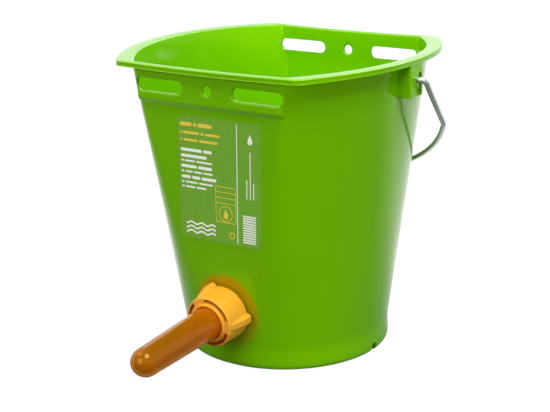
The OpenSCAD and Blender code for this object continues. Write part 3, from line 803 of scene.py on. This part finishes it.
def make_nut():
    """The nut turned from its section, with lugs grown out of its outside and windows cut in its front."""
    outside = nut_outside()
    profile = outside + nut_front()
    points = []
    for i, (r, along) in enumerate(profile):
        for k in range(NUT_SIDES):
            turn = FULL_TURN * k / NUT_SIDES
            grown = r + (lug_rise(turn, along, r) if 0 < i < len(outside) else 0)
            points.append((grown * math.cos(turn), grown * math.sin(turn), along))
    faces = loft_faces(len(profile), NUT_SIDES, closed=True)
    piece = mesh_piece("orange_nut", *moved((points, faces), AT_VALVE))
    face_outwards(piece)
    carve(piece, nut_windows(), "DIFFERENCE")
    smooth(piece)
    return piece


# Teat

TEAT_SIDES = 72
TEAT_BODY_STEPS = 16
TEAT_DOME_STEPS = 14
TEAT_BORE_STEPS = 10


def teat_bent(body):
    """The soft teat's body bent up a little towards its tip."""
    points, faces = body
    free_l = TEAT_REACH - TEAT_FLANGE_FRONT_L
    shares = [max(along - TEAT_FLANGE_FRONT_L, 0) / free_l for x, y, along in points]
    return [(x, y + TEAT_TIP_LIFT * share, along) for (x, y, along), share in zip(points, shares)], faces


def teat_section():
    """The teat's section: flange, swelling body and dome outside, and back along the bore."""
    tip_l = TEAT_REACH - TEAT_TIP_R
    neck_l = COLLAR_L
    bore_r = TEAT_NECK_R - TEAT_WALL
    edge = 0.5
    pole_r = 0.05
    line = [(TEAT_FLANGE_R, TEAT_FLANGE_BACK_L), (TEAT_FLANGE_R, TEAT_FLANGE_FRONT_L - edge),
            (TEAT_FLANGE_R - edge, TEAT_FLANGE_FRONT_L), (TEAT_NECK_R, TEAT_FLANGE_FRONT_L)]
    for i in range(TEAT_BODY_STEPS + 1):
        share = i / TEAT_BODY_STEPS
        swell = TEAT_SWELL * math.sin(math.pi * share)
        r = TEAT_NECK_R + (TEAT_TIP_R - TEAT_NECK_R) * share + swell
        line.append((r, neck_l + (tip_l - neck_l) * share))
    line += arc((0, tip_l), TEAT_TIP_R, 0, QUARTER_TURN, TEAT_DOME_STEPS)[1:-1]
    line += [(pole_r, TEAT_REACH), (pole_r, TEAT_REACH - TEAT_WALL)]
    line += arc((0, tip_l), TEAT_TIP_R - TEAT_WALL, QUARTER_TURN, 0, TEAT_BORE_STEPS)[1:]
    return line + [(bore_r, neck_l), (bore_r, TEAT_FLANGE_BACK_L)]


def make_teat():
    """The turned and bent teat, with a slit in its tip."""
    piece = mesh_piece("amber_teat", *moved(teat_bent(turned(teat_section(), TEAT_SIDES)), AT_VALVE))
    face_outwards(piece)
    half_l = SLIT_LEN / 2
    half_w = SLIT_W / 2
    line = [(-half_l, 0), (0, -half_w), (half_l, 0), (0, half_w)]
    places = (TEAT_REACH - TEAT_TIP_R, TEAT_REACH + OVERRUN)
    slit = loft([[(x, y, along) for x, y in line] for along in places])
    carve(piece, [moved(teat_bent(slit), AT_VALVE)], "DIFFERENCE")
    smooth(piece)
    return piece


# Label film and its print

def wall_front_y(x, z):
    """Depth of the front wall's outer face at a place across and a height."""
    line_x, line_y = outline_line(*wall_sizes(z, 0))
    return np.interp(abs(x), line_x[::-1], line_y[::-1])


def on_label(u, v, off):
    """A place on the label: u across from its middle, v up from its lower edge, off the wall."""
    share = v / LABEL_H
    width_share = (LABEL_BOTTOM_W + (LABEL_TOP_W - LABEL_BOTTOM_W) * share) / LABEL_TOP_W
    x = u * width_share + LABEL_SHIFT * share
    z = LABEL_Z + v
    return x, -wall_front_y(x, z) - off, z


def make_label():
    """A thin sheet with two faces and a border, which follows the wall."""
    columns = 32
    rows = 24
    corner = 1.0
    half = LABEL_TOP_W / 2
    points = []
    for off in (0.0, LABEL_T):
        for j in range(rows + 1):
            v = LABEL_H * j / rows
            edge = min(v, LABEL_H - v)
            drawn_in = corner - math.sqrt(corner ** 2 - (corner - edge) ** 2) if edge < corner else 0
            for i in range(columns + 1):
                u = (2 * i / columns - 1) * (half - drawn_in)
                points.append(on_label(u, v, off))
    across = columns + 1
    sheet = across * (rows + 1)
    faces = []
    for j in range(rows):
        for i in range(columns):
            a = j * across + i
            quad = (a, a + 1, a + across + 1, a + across)
            faces.append(quad)
            faces.append(tuple(sheet + p for p in reversed(quad)))
    border = list(range(columns)) + [j * across + columns for j in range(rows)]
    border += [rows * across + i for i in range(columns, 0, -1)] + [j * across for j in range(rows, 0, -1)]
    for k, a in enumerate(border):
        b = border[(k + 1) % len(border)]
        faces.append((a, sheet + a, sheet + b, b))
    piece = mesh_piece("label_film", points, faces)
    face_outwards(piece)
    smooth(piece)
    return piece


def print_body(line):
    """A flat printed shape on the label, from its outline in label places."""
    low = LABEL_T - PRINT_SINK
    high = LABEL_T + PRINT_PROUD
    return loft([[on_label(u, v, off) for u, v in line] for off in (low, high)])


def bar(u, v, width, height):
    """A printed bar with round ends, from its left end and its middle height."""
    return [(u + width / 2 + a, v + b) for a, b in stadium(width, height, 0, BAR_STEPS)]


def stroke(line, width):
    """A printed line of one width along points."""
    places = np.array(line, float)
    ahead = np.gradient(places, axis=0)
    ahead /= np.linalg.norm(ahead, axis=1)[:, None]
    side = np.stack([-ahead[:, 1], ahead[:, 0]], axis=1) * width / 2
    return [tuple(p) for p in places + side] + [tuple(p) for p in (places - side)[::-1]]


# Rows of bars: height of the row on the label, height of the bars, and their widths from the left
BAR_STEPS = 6
BAR_GAP = 1.3
ROW_FROM_U = -40.5
YELLOW_ROWS = (
    (104.5, 3.4, (13.0, 3.0, 15.0)), (97.0, 2.2, (2.0, 17.0, 4.0, 15.0)), (90.5, 2.2, (2.0, 15.0, 20.0)))
WHITE_ROWS = (
    (81.5, 2.7, (23.0, 9.0)), (76.0, 2.7, (28.0,)), (71.5, 1.6, (3.0, 11.0, 17.0)), (66.5, 2.7, (17.0, 15.0)),
    (61.8, 1.6, (3.0, 8.0, 9.0, 10.0)), (56.8, 2.7, (10.0, 9.0, 16.0)), (52.0, 1.6, (3.0, 13.0, 15.0)),
    (47.8, 1.6, (3.0, 10.0, 11.0)))

# Straight lines: a rule, and upright lines with their place across and their two ends
STRAIGHT_POINTS = 9
RULE_U = 19.0
RULE_V = (2.0, 110.0)
RULE_W = 0.8
UPRIGHT_W = 0.9
UPRIGHTS = ((29.0, 45.0, 62.0), (32.6, 45.0, 87.0), (36.2, 45.0, 60.0))

# Ladder of level bars, waves, and the frame with its level lines
LADDER_U = 24.5
LADDER_V = 5.0
LADDER_STEP = 2.2
LADDER_COUNT = 12
LADDER_BAR = (14.0, 1.3)
WAVE_U = (-37.0, -5.0)
WAVE_V = 6.5
WAVE_STEP = 4.0
WAVE_COUNT = 3
WAVE_POINTS = 50
WAVE_TURN = 0.55
WAVE_H = 1.0
WAVE_W = 1.6
FRAME_U = (-4.0, 17.0)
FRAME_V = (20.0, 37.5, 42.5, 47.5, 52.5)
FRAME_W = 0.6

# Drops: middle, half width and half height. Rings: middle, and inner and outer radius
TOP_DROP = ((32.5, 98.0), 3.4, 4.6)
FRAME_DROP = ((6.5, 28.0), 3.6, 4.8)
DROP_PINCH = 1.6
RING_STEPS = 40
RING_RS = (6.6, 7.3)
SMALL_RING = ((13.0, 9.0), (2.2, 3.0))


def rows_of_bars(rows):
    """Rows of printed bars, each from the left, with a gap after each bar."""
    bodies = []
    for v, height, widths in rows:
        u = ROW_FROM_U
        for width in widths:
            bodies.append(print_body(bar(u, v, max(width, height), height)))
            u += max(width, height) + BAR_GAP
    return bodies


def drop_body(middle, half_w, half_h):
    """A printed drop, round below and pinched to a point above."""
    line = []
    for a in np.linspace(0, FULL_TURN, RING_STEPS, endpoint=False):
        pinch = math.sin(a / 2) ** DROP_PINCH
        line.append((middle[0] + half_w * math.sin(a) * pinch, middle[1] + half_h * math.cos(a)))
    return print_body(line)


def ring_bodies(middle, radii):
    """A printed ring between two radii, as short pieces side by side."""
    bodies = []
    for k in range(RING_STEPS):
        start = FULL_TURN * k / RING_STEPS
        end = FULL_TURN * (k + 1) / RING_STEPS
        corners = [(radii[0], start), (radii[0], end), (radii[1], end), (radii[1], start)]
        line = [(middle[0] + r * math.cos(a), middle[1] + r * math.sin(a)) for r, a in corners]
        bodies.append(print_body(line))
    return bodies


def straight(first, last, width):
    """A printed straight line, in steps so that it follows the wall."""
    steps = np.linspace(0, 1, STRAIGHT_POINTS)[:, None]
    return print_body(stroke(np.array(first) * (1 - steps) + np.array(last) * steps, width))


def make_white_print():
    """Rows of bars, a rule, a drop, upright lines, level bars and waves in white."""
    bodies = rows_of_bars(WHITE_ROWS)
    bodies.append(straight((RULE_U, RULE_V[0]), (RULE_U, RULE_V[1]), RULE_W))
    bodies.append(drop_body(*TOP_DROP))
    for u, low, high in UPRIGHTS:
        bodies.append(straight((u, low), (u, high), UPRIGHT_W))
    for i in range(LADDER_COUNT):
        bodies.append(print_body(bar(LADDER_U, LADDER_V + LADDER_STEP * i, *LADDER_BAR)))
    for i in range(WAVE_COUNT):
        along = np.linspace(*WAVE_U, WAVE_POINTS)
        wave = [(u, WAVE_V + WAVE_STEP * i + WAVE_H * math.sin(u * WAVE_TURN)) for u in along]
        bodies.append(print_body(stroke(wave, WAVE_W)))
    piece = mesh_piece("label_white_print", *merge(bodies))
    face_outwards(piece)
    return piece


def make_yellow_print():
    """Rows of bars, and a frame with a drop in a ring, in yellow."""
    bodies = rows_of_bars(YELLOW_ROWS)
    for v in FRAME_V:
        bodies.append(straight((FRAME_U[0], v), (FRAME_U[1], v), FRAME_W))
    for u in FRAME_U:
        bodies.append(straight((u, FRAME_V[0]), (u, FRAME_V[-1]), FRAME_W))
    bodies.append(drop_body(*FRAME_DROP))
    bodies += ring_bodies(FRAME_DROP[0], RING_RS) + ring_bodies(*SMALL_RING)
    piece = mesh_piece("label_yellow_print", *merge(bodies))
    face_outwards(piece)
    return piece


# Finishes

# Moulded skin: scale and detail of its noises, and the stretch of its flow lines along Z
PLAIN = (1, 1, 1)
SKIN_WAVES = (38, 1)
SKIN_GRAIN = (1500, 2)
SKIN_TONE = (9, 3)
SKIN_FLOW = (70, 4)
FLOW_STRETCH = (1, 1, 0.12)
SKIN_RANGE = (0.3, 0.7)

# Rubbed marks: scale, detail and roughness of their noises, and the levels between which they begin
MARK_LINES = (620, 2, 0.6)
MARK_PATCHES = (16, 2)
MARK_STRETCH = (1, 1, 0.05)
MARK_RANGE = (0.62, 0.72)
PATCH_RANGE = (0.48, 0.68)

# Relief of a finish: its depth in metres and its strength
MOULDED_RELIEF = (0.00025, 0.25)
WIRE_RELIEF = (0.0002, 0.3)
WIRE_SKIN = {"Grain": 0.15, "Waves": 0.4}
WIRE_MARKS = 0.5
WIRE_MARK_COLOUR = (0.78, 0.78, 0.79)

# The valve's flange behind the front wall with its painted shade below the axis, and the painted light in the
# teat's neck and on the inside of the bucket
FLANGE_R = 30.6
FLANGE_FADE = (30.0, 36.0)
FLANGE_DEPTH = (6.0, 12.0)
# Shares of the flange's tint below and above the valve's axis, lower below as painted shade
FLANGE_SHADE_SHARES = (0.35, 0.92)
FLANGE_COLOUR = (0.45, 0.22, 0.0)
THROAT_REACH = (30.0, 62.0)
THROAT_COLOUR = (0.95, 0.28, 0.0)
INSIDE_TURNS = (-0.8, -0.3)
INSIDE_COLOUR = (0.178, 0.57, 0.0)


def new_group(name, inputs, outputs):
    """An empty shader node group with number sockets, and its two end nodes."""
    group = bpy.data.node_groups.new(name, "ShaderNodeTree")
    for way, labels in (("INPUT", inputs), ("OUTPUT", outputs)):
        for label in labels:
            group.interface.new_socket(label, in_out=way, socket_type="NodeSocketFloat")
    entry = group.nodes.new("NodeGroupInput")
    leave = group.nodes.new("NodeGroupOutput")
    return group, entry, leave


def noise_in(tree, vector, scale, detail, roughness=0.5):
    """Noise at the places that a vector gives."""
    node = tree.nodes.new("ShaderNodeTexNoise")
    node.inputs["Scale"].default_value = scale
    node.inputs["Detail"].default_value = detail
    node.inputs["Roughness"].default_value = roughness
    tree.links.new(vector, node.inputs["Vector"])
    return node


def range_in(tree, value, from_low, from_high, to_low, to_high):
    """A value carried from one range to another, and held at its ends."""
    node = tree.nodes.new("ShaderNodeMapRange")
    ends = {"From Min": from_low, "From Max": from_high, "To Min": to_low, "To Max": to_high}
    for label, number in ends.items():
        node.inputs[label].default_value = number
    tree.links.new(value, node.inputs["Value"])
    return node.outputs["Result"]


def math_in(tree, operation, first, second):
    """One operation on two values, each a number or a socket."""
    node = tree.nodes.new("ShaderNodeMath")
    node.operation = operation
    for k, value in enumerate((first, second)):
        if isinstance(value, (int, float)):
            node.inputs[k].default_value = value
        else:
            tree.links.new(value, node.inputs[k])
    return node.outputs[0]


def stretched(tree, stretch):
    """Object coordinates in metres, stretched along the axes."""
    place = tree.nodes.new("ShaderNodeTexCoord")
    mapping = tree.nodes.new("ShaderNodeMapping")
    mapping.inputs["Scale"].default_value = stretch
    tree.links.new(place.outputs["Object"], mapping.inputs["Vector"])
    return mapping.outputs["Vector"]


def moulded_skin_group():
    """The skin of a moulded piece: soft waves, fine grain and slow changes of tone."""
    group, entry, leave = new_group("moulded_skin", ["Grain", "Waves"], ["Height", "Tone", "Gloss"])
    vector = stretched(group, PLAIN)
    waves = noise_in(group, vector, *SKIN_WAVES)
    grain = noise_in(group, vector, *SKIN_GRAIN)
    tone = noise_in(group, vector, *SKIN_TONE)
    flow = noise_in(group, stretched(group, FLOW_STRETCH), *SKIN_FLOW)
    grain_part = math_in(group, "MULTIPLY", grain.outputs["Fac"], entry.outputs["Grain"])
    wave_part = math_in(group, "MULTIPLY", waves.outputs["Fac"], entry.outputs["Waves"])
    group.links.new(math_in(group, "ADD", grain_part, wave_part), leave.inputs["Height"])
    group.links.new(range_in(group, tone.outputs["Fac"], *SKIN_RANGE, 0, 1), leave.inputs["Tone"])
    group.links.new(range_in(group, flow.outputs["Fac"], *SKIN_RANGE, 0, 1), leave.inputs["Gloss"])
    return group


def handling_marks_group():
    """Thin rubbed scratches that run mostly one way, as a mask."""
    group, entry, leave = new_group("handling_marks", ["Amount"], ["Mask"])
    lines = noise_in(group, stretched(group, MARK_STRETCH), *MARK_LINES)
    patches = noise_in(group, stretched(group, PLAIN), *MARK_PATCHES)
    thin = range_in(group, lines.outputs["Fac"], *MARK_RANGE, 0, 1)
    where = range_in(group, patches.outputs["Fac"], *PATCH_RANGE, 0, 1)
    both = math_in(group, "MULTIPLY", thin, where)
    group.links.new(math_in(group, "MULTIPLY", both, entry.outputs["Amount"]), leave.inputs["Mask"])
    return group


MOULDED_SKIN = moulded_skin_group()
HANDLING_MARKS = handling_marks_group()


def new_finish(name):
    """A new material, with its node tree and its shader."""
    material = bpy.data.materials.new(name)
    material.use_nodes = True
    tree = material.node_tree
    return material, tree, tree.nodes["Principled BSDF"]


def group_node(tree, group, **values):
    """A shader node group placed in a material with its own values."""
    node = tree.nodes.new("ShaderNodeGroup")
    node.node_tree = group
    for label, value in values.items():
        node.inputs[label].default_value = value
    return node


def mix_colour(tree, factor, first, second):
    """A mix of two colours, each given as numbers or as a socket."""
    node = tree.nodes.new("ShaderNodeMix")
    node.data_type = "RGBA"
    tree.links.new(factor, node.inputs["Factor"])
    for label, value in (("A", first), ("B", second)):
        socket = [s for s in node.inputs if s.name == label and s.type == "RGBA"][0]
        if isinstance(value, tuple):
            socket.default_value = (*value, 1)
        else:
            tree.links.new(value, socket)
    return [s for s in node.outputs if s.type == "RGBA"][0]


def bump(tree, height, shader, distance, strength):
    """Fine relief on a shader's surface."""
    node = tree.nodes.new("ShaderNodeBump")
    node.inputs["Distance"].default_value = distance
    node.inputs["Strength"].default_value = strength
    tree.links.new(height, node.inputs["Height"])
    tree.links.new(node.outputs["Normal"], shader.inputs["Normal"])


def vector_in(tree, operation, first, second=None):
    """One vector operation, with its second value given as numbers or as a socket."""
    node = tree.nodes.new("ShaderNodeVectorMath")
    node.operation = operation
    tree.links.new(first, node.inputs[0])
    if isinstance(second, tuple):
        node.inputs[1].default_value = second
    elif second is not None:
        tree.links.new(second, node.inputs[1])
    return node.outputs["Value" if operation in ("LENGTH", "DOT_PRODUCT") else "Vector"]


def lay_over(tree, mask, colour):
    """Lays a colour over a finish where the mask is 1."""
    base = tree.nodes["Principled BSDF"].inputs["Base Color"]
    tree.links.new(mix_colour(tree, mask, base.links[0].from_socket, colour), base)


def show_throat(material):
    """Makes the teat redder and brighter near the nut, as light that comes in round its flange would."""
    tree = material.node_tree
    parts = tree.nodes.new("ShaderNodeSeparateXYZ")
    tree.links.new(stretched(tree, PLAIN), parts.inputs[0])
    ahead = [-(VALVE_Y + off_wall) * MM for off_wall in THROAT_REACH]
    lay_over(tree, range_in(tree, parts.outputs["Y"], *ahead, 1, 0), THROAT_COLOUR)


def show_inside(material):
    """Makes the faces that look at the bucket's axis lighter, as light through the thin wall would."""
    tree = material.node_tree
    place = tree.nodes.new("ShaderNodeTexCoord")
    outward = vector_in(tree, "MULTIPLY", place.outputs["Object"], (1, 1, 0))
    outward = vector_in(tree, "NORMALIZE", outward)
    facing = vector_in(tree, "DOT_PRODUCT", outward, place.outputs["Normal"])
    lay_over(tree, range_in(tree, facing, *INSIDE_TURNS, 1, 0), INSIDE_COLOUR)


def show_flange_with_painted_shade(material):
    """Lets the valve's orange flange behind the front wall show through the green, with painted shade: its
    tint is weaker below the valve's axis.
    """
    tree = material.node_tree
    off_axis = vector_in(tree, "SUBTRACT", stretched(tree, PLAIN), (0, -VALVE_Y * MM, VALVE_Z * MM))
    across = vector_in(tree, "LENGTH", vector_in(tree, "MULTIPLY", off_axis, (1, 0, 1)))
    parts = tree.nodes.new("ShaderNodeSeparateXYZ")
    tree.links.new(off_axis, parts.inputs[0])
    near = range_in(tree, across, FLANGE_FADE[0] * MM, FLANGE_FADE[1] * MM, 1, 0)
    front = range_in(tree, parts.outputs["Y"], FLANGE_DEPTH[0] * MM, FLANGE_DEPTH[1] * MM, 1, 0)
    # Painted shade: the flange's tint is strong above the axis, where light falls, and weak below it, in
    # shadow
    painted_lit_share = range_in(tree, parts.outputs["Z"], -FLANGE_R * MM, FLANGE_R * MM, *FLANGE_SHADE_SHARES)
    lay_over(tree, math_in(tree, "MULTIPLY", math_in(tree, "MULTIPLY", near, front), painted_lit_share), FLANGE_COLOUR)


def moulded_finish(name, dark, light, roughness, grain, waves, marks, mark_colour, **sockets):
    """Moulded plastic or rubber: two close tones, changing gloss, fine relief and rubbed marks."""
    material, tree, shader = new_finish(name)
    skin = group_node(tree, MOULDED_SKIN, Grain=grain, Waves=waves)
    rubbed = group_node(tree, HANDLING_MARKS, Amount=marks)
    body = mix_colour(tree, skin.outputs["Tone"], dark, light)
    tree.links.new(mix_colour(tree, rubbed.outputs["Mask"], body, mark_colour), shader.inputs["Base Color"])
    tree.links.new(range_in(tree, skin.outputs["Gloss"], 0, 1, *roughness), shader.inputs["Roughness"])
    bump(tree, skin.outputs["Height"], shader, *MOULDED_RELIEF)
    for label, value in sockets.items():
        shader.inputs[label.replace("_", " ")].default_value = value
    return material


def wire_finish(name, dark, light, roughness):
    """Drawn or coated steel wire: two close tones along it, changing gloss and bright rubbed marks."""
    material, tree, shader = new_finish(name)
    shader.inputs["Metallic"].default_value = 1
    skin = group_node(tree, MOULDED_SKIN, **WIRE_SKIN)
    rubbed = group_node(tree, HANDLING_MARKS, Amount=WIRE_MARKS)
    body = mix_colour(tree, skin.outputs["Gloss"], dark, light)
    marked = mix_colour(tree, rubbed.outputs["Mask"], body, WIRE_MARK_COLOUR)
    tree.links.new(marked, shader.inputs["Base Color"])
    tree.links.new(range_in(tree, skin.outputs["Tone"], 0, 1, *roughness), shader.inputs["Roughness"])
    bump(tree, skin.outputs["Height"], shader, *WIRE_RELIEF)
    return material


def green_plastic():
    material = moulded_finish(
        "green_plastic", dark=(0.143, 0.44, 0.0), light=(0.155, 0.47, 0.0), roughness=(0.12, 0.18),
        grain=0.03, waves=0.35, marks=0.03, mark_colour=(0.18, 0.49, 0.0),
        Specular_IOR_Level=0.6, Specular_Tint=(0.75, 1.0, 0.03, 1.0))
    show_flange_with_painted_shade(material)
    show_inside(material)
    return material


def orange_plastic():
    return moulded_finish(
        "orange_plastic", dark=(0.82, 0.365, 0.018), light=(0.86, 0.4, 0.026), roughness=(0.34, 0.44),
        grain=0.08, waves=0.3, marks=0.05, mark_colour=(0.9, 0.46, 0.08),
        Specular_IOR_Level=0.4, Subsurface_Weight=0.12, Subsurface_Scale=0.002)


def amber_rubber():
    material = moulded_finish(
        "amber_rubber", dark=(0.53, 0.2, 0.0), light=(0.57, 0.22, 0.001), roughness=(0.06, 0.1),
        grain=0.0, waves=0.0, marks=0.0, mark_colour=(0.6, 0.3, 0.02),
        Transmission_Weight=0.7, Specular_IOR_Level=0.3, Specular_Tint=(1.0, 0.72, 0.15, 1.0))
    show_throat(material)
    return material


def white_plastic():
    return moulded_finish(
        "white_plastic", dark=(0.72, 0.71, 0.67), light=(0.78, 0.77, 0.74), roughness=(0.32, 0.42),
        grain=0.1, waves=0.3, marks=0.1, mark_colour=(0.6, 0.59, 0.55))


def black_rubber():
    return moulded_finish(
        "black_rubber", dark=(0.018, 0.018, 0.019), light=(0.03, 0.03, 0.031), roughness=(0.5, 0.68),
        grain=0.5, waves=0.4, marks=0.2, mark_colour=(0.07, 0.07, 0.07))


def label_film():
    return moulded_finish(
        "label_film", dark=(0.175, 0.42, 0.035), light=(0.182, 0.435, 0.04), roughness=(0.24, 0.3),
        grain=0.0, waves=0.0, marks=0.0, mark_colour=(0.19, 0.48, 0.01),
        Specular_Tint=(0.8, 1.0, 0.2, 1.0))


def white_ink():
    return moulded_finish(
        "white_ink", dark=(0.97, 0.99, 0.9), light=(0.99, 1.0, 0.94), roughness=(0.4, 0.5),
        grain=0.05, waves=0.2, marks=0.03, mark_colour=(0.7, 0.85, 0.5))


def yellow_ink():
    return moulded_finish(
        "yellow_ink", dark=(0.86, 0.62, 0.05), light=(0.92, 0.68, 0.07), roughness=(0.4, 0.5),
        grain=0.05, waves=0.2, marks=0.1, mark_colour=(0.7, 0.6, 0.05))


def galvanised_wire():
    return wire_finish(
        "galvanised_wire", dark=(0.46, 0.5, 0.49), light=(0.55, 0.59, 0.58), roughness=(0.2, 0.34))


def pin_steel():
    return wire_finish(
        "pin_steel", dark=(0.5, 0.5, 0.51), light=(0.58, 0.58, 0.59), roughness=(0.2, 0.32))


# Studio, in metres

CAMERA_PLACE = (0.6564, -0.9723, 0.4724)
CAMERA_TURN = math.radians(34.5)
CAMERA_RISE = math.radians(16.54)
CAMERA_ROLL = math.radians(-1.2)
CAMERA_LENS = 86.86


def make_camera():
    """The camera at the photograph's viewing angle."""
    data = bpy.data.cameras.new("camera")
    data.sensor_fit = "HORIZONTAL"
    data.lens = CAMERA_LENS
    camera = bpy.data.objects.new("camera", data)
    bpy.context.scene.collection.objects.link(camera)
    back = Vector((math.sin(CAMERA_TURN) * math.cos(CAMERA_RISE),
                   -math.cos(CAMERA_TURN) * math.cos(CAMERA_RISE), math.sin(CAMERA_RISE)))
    right = Vector((math.cos(CAMERA_TURN), math.sin(CAMERA_TURN), 0))
    up = back.cross(right)
    rolled_right = math.cos(CAMERA_ROLL) * right + math.sin(CAMERA_ROLL) * up
    rolled_up = -math.sin(CAMERA_ROLL) * right + math.cos(CAMERA_ROLL) * up
    camera.matrix_world = Matrix((
        (rolled_right.x, rolled_up.x, back.x, CAMERA_PLACE[0]),
        (rolled_right.y, rolled_up.y, back.y, CAMERA_PLACE[1]),
        (rolled_right.z, rolled_up.z, back.z, CAMERA_PLACE[2]),
        (0, 0, 0, 1),
    ))
    bpy.context.scene.camera = camera


def seen_level(tree, lit, gloss, direct):
    """Levels for rays that light a piece, for its gloss, and for rays that see straight or through it."""
    path = tree.nodes.new("ShaderNodeLightPath")
    sight = math_in(tree, "MAXIMUM", path.outputs["Is Camera Ray"], path.outputs["Is Transmission Ray"])
    in_gloss = math_in(tree, "MULTIPLY", path.outputs["Is Glossy Ray"], gloss)
    seen = math_in(tree, "MAXIMUM", in_gloss, math_in(tree, "MULTIPLY", sight, direct))
    return math_in(tree, "MAXIMUM", seen, lit)


# The floor shows white, and glossy faces mirror it brightly only behind the object
WHITE = (1, 1, 1, 1)
FLOOR_HALF = 9.0
FLOOR_COLOUR = (0.2, 0.2, 0.2, 1)
FLOOR_ROUGHNESS = 0.9
FLOOR_GLOW = 0.92
FLOOR_BEHIND = (-0.57, 0.82, 0.0)
FLOOR_GLOSS = (0.06, 1.0)
FLOOR_GLOSS_FADE = (-0.04, 0.16)


def make_floor():
    """A wide pale floor that keeps the object's shadow."""
    material, tree, shader = new_finish("studio_floor")
    shader.inputs["Base Color"].default_value = FLOOR_COLOUR
    shader.inputs["Roughness"].default_value = FLOOR_ROUGHNESS
    shader.inputs["Specular IOR Level"].default_value = 0
    shader.inputs["Emission Color"].default_value = WHITE
    behind = vector_in(tree, "DOT_PRODUCT", stretched(tree, PLAIN), FLOOR_BEHIND)
    gloss = range_in(tree, behind, *FLOOR_GLOSS_FADE, *FLOOR_GLOSS)
    tree.links.new(seen_level(tree, 0, gloss, FLOOR_GLOW), shader.inputs["Emission Strength"])
    corners = [(-FLOOR_HALF, -FLOOR_HALF, 0), (FLOOR_HALF, -FLOOR_HALF, 0),
               (FLOOR_HALF, FLOOR_HALF, 0), (-FLOOR_HALF, FLOOR_HALF, 0)]
    floor = mesh_piece("floor", corners, [(0, 1, 2, 3)], 1)
    floor.data.materials.append(material)


# Softboxes: name, place, size, power in watts, and whether glossy faces mirror it
SKY_LEVEL = 0.16
LIGHT_AIM = (0, 0, 0.13)
SOFTBOXES = (
    ("main_softbox", (1.0, -0.5, 2.1), 1.3, 51, True),
    ("fill_softbox", (-0.2, -2.0, 0.9), 1.1, 17.5, True),
    ("right_softbox", (1.9, -0.3, 0.34), 0.6, 7, False),
    ("left_softbox", (-0.9, -0.5, 1.4), 0.6, 4.5, True),
    ("rear_softbox", (-0.4, 1.9, 1.7), 1.0, 16, True),
    ("back_softbox", (-1.1, 1.6, 0.9), 1.3, 2.0, True),
)


def make_light():
    """A white world that lights the object a little, and the softboxes."""
    world = bpy.data.worlds.new("studio")
    bpy.context.scene.world = world
    world.use_nodes = True
    tree = world.node_tree
    sky = tree.nodes["Background"]
    tree.links.new(seen_level(tree, SKY_LEVEL, 1, 1), sky.inputs["Strength"])
    sky.inputs["Color"].default_value = WHITE
    for name, place, size, power, mirrored in SOFTBOXES:
        data = bpy.data.lights.new(name, "AREA")
        data.shape = "SQUARE"
        data.size = size
        data.energy = power
        lamp = bpy.data.objects.new(name, data)
        bpy.context.scene.collection.objects.link(lamp)
        lamp.location = place
        lamp.visible_glossy = mirrored
        aim = Vector(LIGHT_AIM) - Vector(place)
        lamp.rotation_euler = aim.to_track_quat("-Z", "Y").to_euler()


# The whole scene

bpy.context.scene.view_settings.view_transform = "Standard"
make_camera()
make_floor()
make_light()
orange = orange_plastic()
white = white_plastic()
dress(make_bucket(), green_plastic(), "bucket", "green_plastic", "bucket_shell")
dress(make_bail(), galvanised_wire(), "bail", "galvanised_wire", "bail_handle")
dress(make_nut(), orange, "nut", "orange_plastic", "union_nut")
dress(make_teat(), amber_rubber(), "teat", "amber_rubber", "teat")
dress(make_label(), label_film(), "bucket", "label_film", "label")
dress(make_white_print(), white_ink(), "bucket", "label_film")
dress(make_yellow_print(), yellow_ink(), "bucket", "label_film")

# The valve's pieces are the solids themselves
for node, material in (("valve_body", orange), ("flap_seat", white), ("wall_seal", black_rubber()),
                       ("flap", white), ("flap_pin", pin_steel())):
    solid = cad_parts[node].data
    solid.materials.clear()
    solid.materials.append(material)
